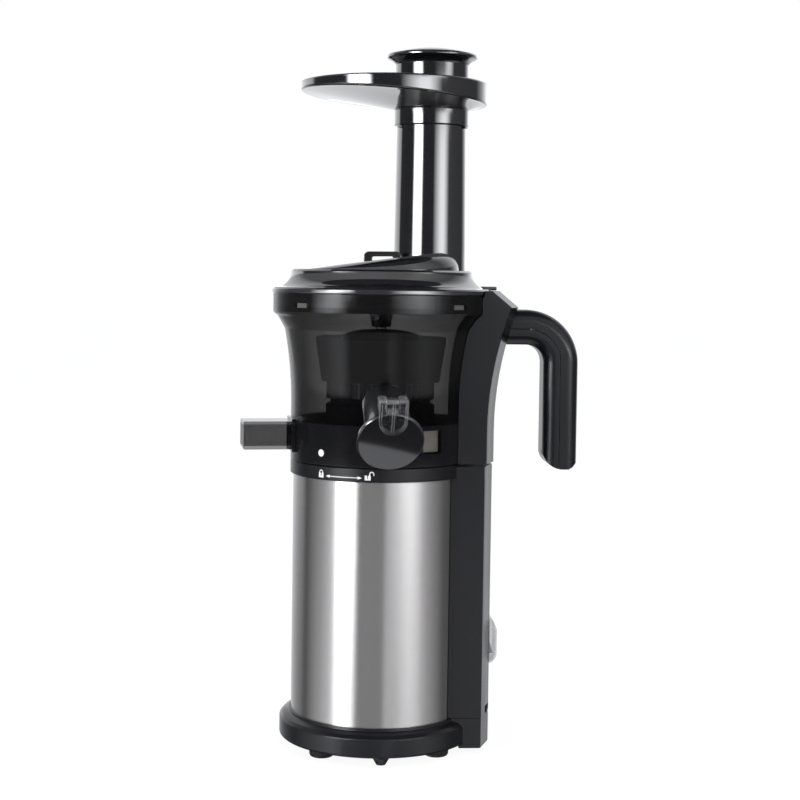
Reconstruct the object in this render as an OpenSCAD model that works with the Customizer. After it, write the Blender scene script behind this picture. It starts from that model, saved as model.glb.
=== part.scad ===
// Cold press juicer: motor base with a gear train, twist-on bowl with strainer and hinged juice cap,
// auger, twist-on lid with a feed chute, lift-off tray and pusher.
// Millimetres. +Z is up, the origin is on the drive axis at the surface it stands on,
// the pulp duct points to the front (-Y), the spine and the handle are at +Y, the juice spout at +X.

/* [Base] */
// Height of the rubber feet
foot_h = 5; // [3:0.5:8]
// Radius of a rubber foot
foot_r = 7.5; // [5:0.5:8]
// Distance of a foot from both centre lines
foot_off = 33.5; // [30:0.5:34]
// Outer radius of the base skirt
skirt_r = 58.5; // [57:0.5:62]
// Height of the base skirt
skirt_h = 15.8; // [13:0.2:20]
// Wall of the moulded base parts
base_wall = 2.4; // [1.8:0.1:3]
// Outer radius of the steel sleeve
sleeve_r = 51.7; // [50:0.1:53]
// Thickness of the steel sleeve
sleeve_t = 0.6; // [0.4:0.1:1]
// Height of the steel sleeve
sleeve_h = 141.8; // [130:0.2:165]
// Height of the top deck with its locking ring
deck_h = 8.1; // [7:0.1:11]
// Thickness of the bottom plate
plate_t = 3; // [2:0.5:4]

/* [Spine] */
// Width of the spine across both sides
spine_w = 62; // [56:1:68]
// Distance of the flat back of the spine behind the wall of the bowl
spine_deep = 12.7; // [10.5:0.1:16]
// Depth of the bevel at the back corners
spine_cut = 6.3; // [4:0.1:8]
// Width of the flat back between the bevels
spine_flat = 30; // [28:1:40]
// How far the back leans out at the top of the spine
spine_flare = 13.4; // [8:0.2:16]
// Height of the top of the spine above the bowl
spine_rise = 2.5; // [0.5:0.1:5]

/* [Switch] */
// Height of the middle of the switch above the floor
switch_z = 62; // [50:1:90]
// Length of the switch opening, along the height
switch_len = 24; // [20:1:30]
// Width of the switch opening
switch_w = 16; // [13:0.5:20]
// Half of the travel of the rocker, in degrees
rocker_tilt = 9; // [5:1:12]

/* [Motor and gears] */
// Module of the gear teeth
gear_m = 1; // [0.8:0.05:1.05]
// Teeth on each pinion
pinion_teeth = 9; // [8:1:10]
// Teeth on each wheel
wheel_teeth = 36; // [30:2:38]
// Play between meshing teeth, along the pitch circle
backlash = 0.35; // [0.2:0.05:0.5]
// Radius of the motor can
motor_r = 38; // [34:1:42]
// Height of the motor can
motor_h = 58; // [50:1:60]
// Radius of the drive shaft
shaft_r = 6; // [5:0.25:6.5]
// Radius of the rotor shaft
rotor_shaft_r = 3; // [2:0.25:3.2]

/* [Bowl] */
// Outer radius of the straight part of the bowl
bowl_r = 53.6; // [53:0.1:55]
// Wall of the bowl
bowl_wall = 2.4; // [2:0.1:3]
// Height of the bowl above the deck
bowl_h = 99.3; // [96:0.1:104]
// How far the collar at the top stands out from the straight part of the bowl
collar_out = 11.2; // [10:0.1:12]
// Height of that collar
collar_h = 12.2; // [11:0.1:14]
// Angle that the bowl turns to come off the base, in degrees
bowl_turn = 29; // [24:1:34]
// Angle of the pulp duct from the centre line, in degrees
duct_turn = 6.5; // [0:0.5:10]

/* [Pulp duct] */
// Outer width of the duct
duct_w = 23; // [20:0.5:28]
// Outer height of the duct
duct_h = 16.6; // [14:0.2:20]
// Wall of the duct
duct_wall = 2; // [1.5:0.1:2.5]
// Length of the duct outside the wall of the bowl
duct_len = 29.4; // [20:0.2:40]
// Height of the underside of the duct above the deck
duct_z = 6.9; // [6:0.1:10]

/* [Juice spout] */
// Outer radius of the spout
spout_r = 13.5; // [12:0.1:15]
// Wall of the spout
spout_wall = 1.8; // [1.4:0.1:2.2]
// Slope of the spout below the horizontal, in degrees
spout_tilt = 29; // [20:1:35]
// Distance of the middle of the mouth of the spout from the wall of the bowl
spout_len = 24.4; // [22:0.2:30]
// Height of the middle of the mouth above the deck
spout_z = 19.3; // [18:0.1:24]
// Offset of the mouth to the side of the centre line
spout_side = 1.3; // [0:0.1:5]
// Angle of the spout from the centre line, in degrees
spout_turn = 3; // [0:0.5:10]
// Radius of the cap disc
cap_r = 18.9; // [16.5:0.1:20]
// Thickness of the cap disc
cap_t = 3; // [2:0.1:4]
// Width of the cap lever
lever_w = 15.4; // [14:0.1:18]
// Height of the cap lever
lever_h = 22; // [20:0.5:26]

/* [Strainer and auger] */
// Outer radius of the funnel ring at its top
funnel_r = 39.3; // [37:0.1:41]
// Outer radius of the ribbed basket
basket_r = 32.4; // [32:0.1:34]
// Height of the strainer above the deck
strainer_top = 73.3; // [70:0.1:75]
// Ribs of the basket
basket_ribs = 16; // [10:1:20]
// Radius of the auger over its flights at the top
auger_r = 25.6; // [24:0.1:26]
// Radius of the auger over its flights at the bottom
auger_foot_r = 23.6; // [22:0.1:24]
// Radius of the auger core at the top
core_r = 9; // [7:0.5:11]
// Height of the auger
auger_h = 61.5; // [56:0.5:62]
// Turns of each flight
flight_turns = 1.6; // [1:0.1:2.2]
// Number of flights
flights = 2; // [1:1:3]

/* [Lid and chute] */
// How far the rim of the lid stands out from the collar of the bowl
rim_out = 0.7; // [0.2:0.1:2]
// Height of the flat top of the lid above the bowl
lid_h = 14; // [12:0.5:16]
// How far the flat top of the lid lies inside its rim
top_in = 10.9; // [9.8:0.1:13]
// Rise of the sloping hump above the flat top, at its back
hump_h = 12.4; // [10:0.2:14]
// Radius of the hump
hump_r = 47; // [44:0.5:48]
// Angle that the lid turns to come off the bowl, in degrees
lid_turn = 30; // [24:1:32]
// Clearance between the hub of the lid and the foot of the chute
chute_set = 0.7; // [0.4:0.1:2.2]
// Outer radius of the chute under the tray
chute_r = 20.8; // [20:0.1:22]
// Wall of the chute
chute_wall = 2.2; // [1.8:0.1:2.6]
// Height of the top of the chute above the bowl
chute_h = 113; // [90:1:130]

/* [Tray and pusher] */
// Radius of the tray
tray_r = 55.8; // [52:0.2:60]
// Distance of the middle of the tray behind the drive axis
tray_y = 5.9; // [4:0.1:8]
// Height of the top of the tray above the end of the chute
tray_h = 12; // [11:0.5:16]
// Depth of the rim of the tray at its front
rim_front = 5; // [4:0.5:8]
// Depth of the rim of the tray at its back
rim_back = 13; // [9:0.5:14]
// Radius of the neck of the pusher
neck_r = 22; // [21.6:0.1:23]
// Height of the neck of the pusher above the top of the tray
neck_h = 13; // [8:0.5:20]
// Radius of the lip of the pusher
lip_r = 27; // [25:0.1:30]
// How far the tray lifts off the chute
tray_lift = 40; // [20:1:60]
// How far the pusher lifts out of the chute
pusher_lift = 110; // [60:1:120]

/* [Handle] */
// Depth of the handle, seen from the side
handle_t = 21; // [18:0.5:24]
// Width of the handle
handle_w = 26; // [22:0.5:28]
// Inner radius of the bend
bend_r = 10.7; // [8:0.1:14]
// Room for the fingers between the foot of the spine and the grip
finger_room = 31; // [26:0.5:44]
// Drop of the underside of the arm below the top of the spine
arm_drop = 32.1; // [31.6:0.1:38]
// Height of the whole handle, from the top of its arm to the lower end of the grip
handle_h = 95.4; // [70:0.1:110]

/* [Hidden] */
$fn = 96;

fit = 0.1;           // running fit on a pin, shaft or pilot
snug = 0.05;         // between pieces that are pressed or screwed together
gap = 0.3;           // between parts that move past each other
step = 0.2;          // lift of a twisting part off the face below it
over = 1;            // how far a cut reaches past the face it opens

// heights of the main faces
body_z = foot_h + skirt_h;
deck_z = body_z + sleeve_h;
bowl_z = deck_z + deck_h;
lid_z = bowl_z + bowl_h;
chute_z = lid_z + chute_h;
tray_z = chute_z + tray_h;
plate_z = foot_h + plate_t;

// base
housing_r = sleeve_r - sleeve_t - snug;
housing_in = housing_r - base_wall;
skirt_in = skirt_r - base_wall;
ledge_r = housing_r - 4;
ledge_z = foot_h + 0.55 * skirt_h;
heel_z = foot_h - 2.2;             // the foot of the spine hangs lower than the skirt
deck_r = bowl_r - 0.1;
collar_r = bowl_r + collar_out;
rim_r = collar_r + rim_out;
top_r = rim_r - top_in;
duct_end = bowl_r + duct_len;
spout_end = bowl_r + spout_len;
screw_r = 40;
screw_shank = 1.5;
foot_peg_r = 2.5;
wrap_y = 39.6;                    // the sleeve ends here, and the spine begins
switch_deep = 14;
spine_y = max(bowl_r + spine_deep, housing_r + switch_deep + 1.2);   // flat back of the spine
spine_front = wrap_y + 3;
spine_side = spine_w / 2;
spine_edge = spine_y - spine_cut;
flat_side = spine_flat / 2;
bevel = atan(spine_cut / (spine_side - flat_side));
gland_r = 6;
gland_z = 23.3;
cable_gap = gland_r + 2.6;

// switch
rocker_y = spine_y - 1.8;
rocker_len = switch_len - 4;
rocker_w = switch_w - 5;
bezel_w = switch_w + 3.5;
bezel_len = switch_len + 3;
bezel_t = 0.8;
cover_wall = 0.8;

// motor and gear train
plate_gap = 2;
can_z = ledge_z + 26;
can_top = can_z + motor_h;
can_wall = 1.5;
coil_room = 10;                   // room above and below the stator for its coils
stator_t = 12.5;
air_gap = 1;
case_z = can_top;
case_t = 3;
gear_t = 8;
centre_d = gear_m * (pinion_teeth + wheel_teeth) / 2 + fit;
add = 0.8 * gear_m;
ded = 1.1 * gear_m;
press_a = 25;
wheel_tip = gear_m * wheel_teeth / 2 + add;
case_r = centre_d + wheel_tip + 1.5;
stage1_z = case_z + case_t + plate_gap;
stage2_z = stage1_z + gear_t + 5;
case_h = stage2_z + gear_t + plate_gap - case_z;
cover_t = 4;
cover_z = case_z + case_h;
counter_r = 2;
bearing_t = 6;
out_bearing_r = 13;
rotor_bearing_r = 9;

// spigot and lugs between deck and bowl, and floor of the bowl
spigot_r = bowl_r - 9.6;
spigot_h = 4.2;
lug_depth = 2.5;
lug_t = 1.5;
lug_half = bowl_turn / 2 - 1;
floor_z = bowl_z + spigot_h + gap;
floor_t = 3;
boss_in = shaft_r + 1.6;
boss_r = boss_in + 2.4;
boss_top = bowl_z + 15.3;

// bowl profile
flare_z = bowl_z + 34.3;          // the straight wall ends here
flare_r = 4.2;
collar_z = lid_z - collar_h;
neck_z = collar_z - 9;            // the cone under the collar begins here
collar_in = collar_r - 2.6;
window_a = 41;                    // angle of the first window in the collar
window_half = 4.5;
window_lip = 0.3;
groove_z = collar_z + 3.5;
groove_t = 3.3;
groove_d = 1.5;

// spine above the deck
lean_z = bowl_z + 19.3;
spine_top = lid_z + spine_rise;
lean_top = spine_top - 9.5;
lean_k = spine_flare / pow(lean_top - lean_z, 2);
slope_y = spine_y + 2.7;          // the sloped top starts here
shelf_r = rim_r + 0.4;            // the lid rim turns inside this

// strainer and auger
auger_z = boss_top + 1.3;
auger_top = auger_z + auger_h;
mesh_gap = 0.8;
mesh_t = 0.6;
mesh_in = auger_foot_r + mesh_gap;
mesh_top_in = auger_r + mesh_gap;
funnel_z = bowl_z + 46.9;
basket_z = bowl_z + 37.2;
strainer_z = bowl_z + strainer_top;
ring_r = basket_r + 0.2;
ring_z = basket_z - 4;
socket_r = shaft_r + 2.6;
socket_h = 16;
hex_r = shaft_r - snug;
hex_play = 0.12;
hex_h = 11;
auger_sides = 64;
auger_rings = 42;
dome_rings = 6;
dome_h = 5.6;
auger_dome_r = auger_r - 1;
socket_bore = (socket_r + fit) / cos(180 / auger_sides);
funnel_t = 2.5;
slot_count = 60;

// lid
skirt_out = collar_in - gap;
skirt_wall = 2;
skirt_drop = 8;
seal_t = 3;
lid_wall = 2.5;
loop_x = 12.8;                     // the loop stands in front of the chute
loop_deep = 6;
loop_w = 22.4;
loop_h = 8;
loop_leg = 5.2;
hub_z = auger_top + 1.2;
pin_r = 3.2;
bush_r = 4.7;
hub_r = 7.8;
hump_tilt = 7.4;
plateau_z = lid_z + lid_h;
chute_in = chute_r - chute_wall;
chute_seat = 13;                  // length of the chute that enters the tray
chute_foot = lid_z - 8;
stub_r = chute_in + 1.4;          // chute where it passes through the lid
chute_y = hub_r + stub_r + chute_set;
chute_base_r = chute_r + 0.8;
shoulder_z = plateau_z - 0.6;

// tray and pusher
collar_wall = 1.6;
mouth_r = neck_r + 0.5;
plunger_r = chute_in - 0.6;
lip_z = tray_z + neck_h;
seat_z = chute_z + 2;

// handle
grip_y = spine_y + finger_room;
grip_end = grip_y + handle_t;
bend_y = grip_y - bend_r;
arm_low = spine_top - arm_drop;
grip_z = arm_low + handle_t - handle_h;
bend_z = arm_low - bend_r;
seam_r = bend_r + 0.46 * handle_t;
bolt_r = 2;
bolt_head = 2.2;
bolt_head_r = bolt_r + 1.8;
bolt_set = 3.8;                   // the bolts begin this far in front of the cover of the spine
bolt_len = 20;
bolt_z = [arm_low + 5.2, arm_low + handle_t - 5];
mount_wall = 3.1;                 // wall of the mount round the bowl

// spout frame: origin at the middle of the mouth, +X outwards, +Z up across the mouth
mouth_z = bowl_z + spout_z;
spout_root = spout_len / cos(spout_tilt) + spout_r * tan(spout_tilt) + 3;
hinge_x = -4;
hinge_z = cap_r + 3.4;
knuckle_w = 7;
knuckle_r = 3;
hinge_r = 1.25;

// ---------- helpers ----------

module ring(r_out, r_in, h) {
    difference() {
        cylinder(r = r_out, h = h);
        translate([0, 0, -over]) cylinder(r = r_in, h = h + 2 * over);
    }
}

// a block bent round the drive axis
module arc_block(r0, r1, a0, a1, z0, z1) {
    rotate([0, 0, a0]) rotate_extrude(angle = a1 - a0)
        translate([r0, z0]) square([r1 - r0, z1 - z0]);
}

// the outline of the children, drawn in Y and Z, carried across the width w
module across(w) {
    translate([-w / 2, 0, 0]) rotate([90, 0, 90]) linear_extrude(w) children();
}

// outline of the spine seen from above, from y0 to the back, drawn in by inset
module spine_plan(y0, inset = 0) {
    side = spine_side - inset;
    flat = flat_side - inset * tan(bevel / 2);
    polygon([[-side, y0], [side, y0], [side, spine_edge - inset * tan(bevel / 2)],
        [flat, spine_y - inset], [-flat, spine_y - inset], [-side, spine_edge - inset * tan(bevel / 2)]]);
}

// involute gear: polar flank points from the root to the tip
function inv(a) = tan(a) * 180 / PI - a;
function flank(r, rb) = r <= rb ? 0 : inv(acos(rb / r));
function tooth(n, i) = let (
        rp = gear_m * n / 2,
        rb = rp * cos(press_a),
        half = 90 / n - backlash / 4 / rp * 180 / PI + inv(press_a),
        radii = [rp - ded, max(rb, rp - ded / 2), rp, rp + add],
        mid = 360 * i / n)
    concat([for (r = radii) [r * cos(mid - half + flank(r, rb)), r * sin(mid - half + flank(r, rb))]],
        [for (k = [3:-1:0]) [radii[k] * cos(mid + half - flank(radii[k], rb)),
            radii[k] * sin(mid + half - flank(radii[k], rb))]]);

module gear(n, t, bore) {
    difference() {
        linear_extrude(t) polygon([for (i = [0:n - 1], p = tooth(n, i)) p]);
        translate([0, 0, -over]) cylinder(r = bore, h = t + 2 * over);
    }
}

// solid inside the outer wall of the bowl, made larger by grow
module bowl_body(grow, low = bowl_z, high = lid_z) {
    rise = neck_z - flare_z;
    wall = [for (i = [0:6]) [bowl_r + grow + flare_r * pow(i / 6, 2), flare_z + rise * i / 6]];
    rotate_extrude() polygon(concat([[0, low], [bowl_r + grow, low]], wall,
        [[collar_r - 2.7 + grow, collar_z - 1.5 - grow], [collar_r - 0.7 + grow, collar_z - grow],
         [collar_r + grow, collar_z + 1.1 - grow], [collar_r + grow, high], [0, high]]));
}

// the same for the inside of the bowl, from its floor to its top
module bowl_space() {
    rise = neck_z - flare_z;
    wall = [for (i = [0:6]) [bowl_r - bowl_wall + flare_r * pow(i / 6, 2), flare_z + rise * i / 6]];
    rotate_extrude() polygon(concat([[0, floor_z + floor_t], [bowl_r - bowl_wall, floor_z + floor_t]], wall,
        [[collar_in, collar_z + 1.2], [collar_in, lid_z + over], [0, lid_z + over]]));
}

// ---------- base ----------

module base_skirt() {
    color("#1b1c1f") difference() {
        union() {
            rotate_extrude() polygon([[ledge_r, foot_h], [skirt_r - 1, foot_h], [skirt_r, foot_h + 1],
                [skirt_r, body_z - 4.8], [skirt_r - 0.5, body_z - 4.3], [(skirt_r + sleeve_r) / 2 + 1.6, body_z - 2.9],
                [sleeve_r + 2.2, body_z - 1.8], [sleeve_r + 1.3, body_z - 1.6], [sleeve_r + 1.3, body_z],
                [ledge_r, body_z]]);
            translate([0, 0, heel_z]) linear_extrude(body_z - heel_z) spine_plan(wrap_y);
        }
        translate([0, 0, heel_z - over]) cylinder(r = skirt_in, h = ledge_z - heel_z + over);
        translate([0, 0, heel_z - over]) cylinder(r = ledge_r, h = body_z - heel_z + 2 * over);
        translate([0, 0, heel_z - over]) linear_extrude(foot_h + plate_t - heel_z + over) spine_plan(0, base_wall);
        translate([0, 0, foot_h]) linear_extrude(skirt_h + over) spine_plan(spine_front, base_wall);
        gland_cut(fit);
    }
}

// vents lie under the fan; three blunt stubs keep the rim off the table when it tips
module bottom_plate() {
    color("#141518") difference() {
        union() {
            translate([0, 0, foot_h]) cylinder(r = skirt_in - gap, h = plate_t);
            translate([0, 0, foot_h]) linear_extrude(plate_t) spine_plan(0, base_wall + gap);
            for (a = [0, -90, 180])
                rotate([0, 0, a]) translate([skirt_r - 5.8, 0, 0.5]) cylinder(r1 = 2.7, r2 = 5.4, h = foot_h - 0.5);
        }
        for (x = [-1, 1], y = [-1, 1])
            translate([x * foot_off, y * foot_off, foot_h - over])
                cylinder(r = foot_peg_r + fit, h = plate_t + 2 * over);
        for (a = [0:90:270]) rotate([0, 0, a]) translate([screw_r, 0, foot_h - over]) {
            cylinder(r = screw_shank + fit, h = plate_t + 2 * over);
            cylinder(r = 3.6, h = over + 1.5);
        }
        for (a = [15:30:345])
            rotate([0, 0, a]) translate([12, -1.5, foot_h - over]) cube([16, 3, plate_t + 2 * over]);
    }
}

module rubber_feet() {
    color("#0e0e10") for (x = [-1, 1], y = [-1, 1]) translate([x * foot_off, y * foot_off, 0]) {
        rotate_extrude() polygon([[0, 0], [foot_r - 1.6, 0], [foot_r - 0.8, 0.4], [foot_r - 0.3, 1.2],
            [foot_r, foot_h], [foot_peg_r, foot_h], [foot_peg_r, plate_z + 1], [0, plate_z + 1]]);
    }
}

module base_screws() {
    color("silver") for (a = [0:90:270]) rotate([0, 0, a]) translate([screw_r, 0, foot_h + 0.1]) {
        cylinder(r = 3.4, h = 1.4);
        cylinder(r = screw_shank, h = 14);
    }
}

module steel_sleeve() {
    color("#b9bcc0") difference() {
        translate([0, 0, body_z]) ring(sleeve_r, sleeve_r - sleeve_t, sleeve_h);
        translate([-sleeve_r, wrap_y, body_z - over]) cube([2 * sleeve_r, sleeve_r, sleeve_h + 2 * over]);
    }
}

module motor_housing() {
    color("#18191c") {
        difference() {
            union() {
                translate([0, 0, body_z]) cylinder(r = housing_r, h = sleeve_h);
                translate([-spine_side, wrap_y + gap, body_z])
                    cube([2 * spine_side, spine_front - wrap_y - gap, sleeve_h]);
            }
            translate([0, 0, body_z + base_wall]) cylinder(r = housing_in, h = sleeve_h);
            translate([0, 0, body_z - over]) cylinder(r = screw_r - 5, h = 2 * base_wall);
        }
        for (a = [0:90:270]) rotate([0, 0, a]) translate([screw_r, 0, plate_z + 0.2])
            ring(4, screw_shank + 0.02, body_z - plate_z - 0.2);
        // ledge that carries the gearbox and the motor
        translate([0, 0, case_z - 4]) ring(housing_in, housing_in - 3, 4);
    }
}

module top_deck() {
    color("#1b1c1f") difference() {
        union() {
            translate([0, 0, deck_z]) rotate_extrude() polygon([[0, 0], [deck_r - 0.5, 0], [deck_r, 0.5],
                [deck_r, deck_h - 0.5], [deck_r - 0.5, deck_h], [0, deck_h]]);
            translate([0, 0, deck_z]) linear_extrude(deck_h - 1.1) spine_plan(wrap_y);
            translate([0, 0, bowl_z - over]) cylinder(r = spigot_r, h = spigot_h + over);
            for (a = [45:90:315])
                arc_block(spigot_r - over, spigot_r + lug_depth, a - lug_half, a + lug_half,
                    bowl_z + spigot_h - lug_t, bowl_z + spigot_h);
        }
        translate([0, 0, deck_z - over]) cylinder(r = spigot_r - 3, h = deck_h + spigot_h - 3.5 + over);
        translate([0, 0, deck_z - over]) cylinder(r = boss_r, h = deck_h + spigot_h + 2 * over);
        translate([0, 0, deck_z - over]) linear_extrude(deck_h - 4 + over) spine_plan(spine_front + 3, base_wall);
    }
    color("#1b1c1f") translate([0, 0, deck_z]) ring(boss_r, shaft_r + 3, deck_h + spigot_h);
}

module shaft_seal() {
    color("#3a3b3e") translate([0, 0, bowl_z - 1]) ring(shaft_r + 3, shaft_r + fit, spigot_h);
}

module spine_shell() {
    color("#1b1c1f") {
        difference() {
            for (s = [-1, 1]) translate([s > 0 ? spine_side - base_wall : -spine_side, spine_front, body_z])
                cube([base_wall, spine_edge - spine_front, sleeve_h]);
            translate([0, 0, body_z - over]) cylinder(r = housing_r + snug, h = sleeve_h + 2 * over);
        }
        difference() {
            for (z = [body_z, deck_z - base_wall]) translate([-spine_side + base_wall, spine_front, z])
                cube([2 * (spine_side - base_wall), spine_edge - spine_front, base_wall]);
            translate([0, 0, body_z - over]) cylinder(r = housing_r + snug, h = sleeve_h + 2 * over);
            // the lead passes here
            translate([-cable_gap, housing_r, body_z - over]) cube([2 * cable_gap, spine_cut + over + 10, sleeve_h - 10]);
        }
    }
}

module rear_cover() {
    color("#1b1c1f") difference() {
        translate([0, 0, body_z]) linear_extrude(sleeve_h) spine_plan(spine_edge);
        translate([0, 0, body_z + base_wall]) linear_extrude(sleeve_h - 2 * base_wall)
            spine_plan(spine_edge - over, base_wall);
        translate([-switch_w / 2, spine_edge, switch_z - switch_len / 2])
            cube([switch_w, spine_cut + over, switch_len]);
        gland_cut(fit);
    }
}

module gland_cut(play) {
    translate([0, spine_edge - 2 * over, gland_z]) rotate([-90, 0, 0])
        cylinder(r = gland_r + play, h = spine_cut + 4 * over);
}

module cord_gland() {
    color("#101113") translate([0, spine_edge - 3, gland_z]) rotate([-90, 0, 0]) difference() {
        union() {
            cylinder(r = gland_r, h = spine_cut + 4);
            cylinder(r = gland_r + 2, h = 2);
            translate([0, 0, spine_cut + 3.2]) cylinder(r = gland_r + 1, h = 0.9);
        }
        translate([0, 0, -over]) cylinder(r = 3.2, h = spine_cut + 6);
    }
}

// ---------- switch ----------

module switch_body() {
    color("#222326") difference() {
        translate([-switch_w / 2 + 0.2, spine_y - switch_deep, switch_z - switch_len / 2 + 0.2])
            cube([switch_w - 0.4, switch_deep, switch_len - 0.4]);
        translate([-rocker_w / 2 - gap, spine_y - 9, switch_z - rocker_len / 2 - gap])
            cube([rocker_w + 2 * gap, 9 + over, rocker_len + 2 * gap]);
        translate([0, rocker_y, switch_z]) rotate([0, 90, 0])
            cylinder(r = 1.5 + snug, h = rocker_w + 4, center = true);
    }
}

module switch_bezel() {
    color("#1a1b1e") translate([0, spine_y, switch_z]) difference() {
        translate([-bezel_w / 2, 0, -bezel_len / 2]) cube([bezel_w, bezel_t, bezel_len]);
        translate([-rocker_w / 2 - gap, -over, -rocker_len / 2 - gap])
            cube([rocker_w + 2 * gap, bezel_t + 2 * over, rocker_len + 2 * gap]);
    }
}

// outline of the waterproof cover seen from the side, drawn in by inset
module cover_side(inset) {
    half = bezel_len / 2 - inset;
    back = spine_y + bezel_t;
    top = spine_y + 5.4 - inset;
    polygon([[back, -half], [back + 2, -half + 0.4], [top - 0.6, -half + 3.2], [top, -half + 5],
        [top, half - 7], [top - 0.6, half - 5], [back + 2.4, half - 1.6], [back, half]]);
}

module switch_cover() {
    color([0.85, 0.88, 0.92, 0.6]) translate([0, 0, switch_z]) difference() {
        across(bezel_w) cover_side(0);
        across(bezel_w - 2 * cover_wall) cover_side(cover_wall);
    }
}

// both faces of the rocker lie at the tilt to each other
module rocker_side() {
    half = rocker_len / 2 - 1;
    rise = 2.6 + half * tan(rocker_tilt);
    polygon([[-2.4, -half], [rise, -half], [2.6, 0], [rise, half], [-2.4, half], [-5, 0]]);
}

module switch_rocker() {
    color("#8e9cb0") translate([0, rocker_y, switch_z]) rotate([rocker_tilt, 0, 0]) {
        across(rocker_w) rocker_side();
        rotate([0, 90, 0]) cylinder(r = 1.5, h = rocker_w + 3.4, center = true);
    }
}

// ---------- motor and gears ----------

module motor_can() {
    color("#6f7276") translate([0, 0, can_z]) difference() {
        cylinder(r = motor_r, h = motor_h);
        translate([0, 0, 2]) cylinder(r = motor_r - can_wall, h = motor_h - 4);
        translate([0, 0, -over]) cylinder(r = rotor_bearing_r, h = motor_h + 2 * over);
        for (a = [0:45:315]) rotate([0, 0, a]) translate([16, -3, -over]) cube([14, 6, 2 + 2 * over]);
    }
}

module stator() {
    color("#8a4a2a") translate([0, 0, can_z + coil_room])
        ring(motor_r - can_wall, motor_r - can_wall - stator_t, motor_h - 2 * coil_room);
}

module motor_bearings() {
    color("#9da0a4") for (z = [can_z - 1, can_top - 5])
        translate([0, 0, z]) ring(rotor_bearing_r, rotor_shaft_r + snug, 5);
}

module rotor_core() {
    color("#55585c") translate([0, 0, can_z + coil_room + 2])
        ring(motor_r - can_wall - stator_t - air_gap, rotor_shaft_r, motor_h - 2 * coil_room - 4);
}

module rotor_shaft() {
    color("#b4b7ba") {
        translate([0, 0, can_z - 14]) cylinder(r = rotor_shaft_r, h = stage1_z + gear_t - can_z + 14);
        translate([0, 0, stage1_z]) rotate([0, 0, -90]) gear(pinion_teeth, gear_t, rotor_shaft_r - 0.5);
    }
}

module cooling_fan() {
    color("#2c2d30") translate([0, 0, can_z - 13]) {
        ring(7, rotor_shaft_r, 9);
        difference() {
            union() for (a = [0:40:320]) rotate([0, 0, a]) rotate([35, 0, 0])
                translate([6, -1, -1]) cube([motor_r - 12, 1.4, 10]);
            translate([0, 0, -over]) cylinder(r = rotor_shaft_r + 1, h = 14);
            translate([0, 0, 9]) cylinder(r = motor_r, h = 20);
            translate([0, 0, -20]) cylinder(r = motor_r, h = 20);
        }
    }
}

module gearbox_case() {
    color("#3b3d41") translate([0, 0, case_z]) difference() {
        union() {
            cylinder(r = housing_in - 0.3, h = case_t);
            cylinder(r = case_r + 2.5, h = case_h);
        }
        translate([0, 0, case_t]) cylinder(r = case_r, h = case_h);
        translate([0, 0, -over]) cylinder(r = gear_m * pinion_teeth / 2 + add + 1, h = case_t + 2 * over);
        translate([0, -centre_d, -over]) cylinder(r = counter_r, h = case_t + 2 * over);
    }
}

module gearbox_cover() {
    color("#3b3d41") translate([0, 0, cover_z]) difference() {
        union() {
            cylinder(r = case_r + 2.5, h = cover_t);
            cylinder(r = out_bearing_r + 2.5, h = cover_t + bearing_t);
        }
        translate([0, 0, -over]) cylinder(r = shaft_r + 2, h = cover_t + 2 * over);
        translate([0, 0, cover_t]) cylinder(r = out_bearing_r, h = bearing_t + over);
        translate([0, -centre_d, -over]) cylinder(r = counter_r, h = cover_t + 2 * over);
    }
}

module output_bearing() {
    color("#9da0a4") translate([0, 0, cover_z + cover_t]) ring(out_bearing_r, shaft_r + snug, bearing_t);
}

module counter_shaft() {
    color("#b4b7ba") translate([0, -centre_d, case_z + 0.2]) cylinder(r = counter_r, h = case_h + cover_t - 0.4);
}

// the wheel meshes with the rotor pinion, and its own pinion drives the output gear
module counter_gear() {
    color("#d8d2c0") translate([0, -centre_d, 0]) {
        translate([0, 0, stage1_z]) rotate([0, 0, 90 + 180 / wheel_teeth])
            gear(wheel_teeth, gear_t, counter_r + snug);
        translate([0, 0, stage1_z + gear_t])
            ring(gear_m * pinion_teeth / 2 - ded - 0.2, counter_r + snug, stage2_z - stage1_z - gear_t);
        translate([0, 0, stage2_z]) rotate([0, 0, 90]) gear(pinion_teeth, gear_t, counter_r + snug);
    }
}

module output_gear() {
    color("#b8a46a") translate([0, 0, stage2_z])
        rotate([0, 0, -90 + 180 / wheel_teeth]) gear(wheel_teeth, gear_t, shaft_r);
}

module drive_shaft() {
    color("#b4b7ba") {
        translate([0, 0, stage2_z]) cylinder(r = shaft_r, h = auger_z - stage2_z);
        translate([0, 0, auger_z]) cylinder(r = hex_r, h = hex_h, $fn = 6);
    }
}

// ---------- auger ----------

module auger_socket() {
    color("#a08a50") translate([0, 0, auger_z + 0.1]) difference() {
        cylinder(r = socket_r, h = socket_h - 0.1);
        translate([0, 0, -over]) cylinder(r = hex_r + hex_play, h = hex_h + over + 0.2, $fn = 6);
    }
}

// share of the height, from 0 at the foot to 1 at the top
function auger_core(t) = core_r + (auger_foot_r - 1.2 - core_r) * pow(1 - t, 0.8);
function auger_crest(t) = auger_foot_r + (auger_r - auger_foot_r) * t;
function auger_rib(a) = let (c = cos(a * flights)) c > 0 ? pow(c, 5) : 0;
function auger_skin(t, a) = t < 0.08 ? auger_foot_r
    : auger_core(t) + (auger_crest(t) - auger_core(t)) * auger_rib(a + 360 * flight_turns * t);

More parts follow.
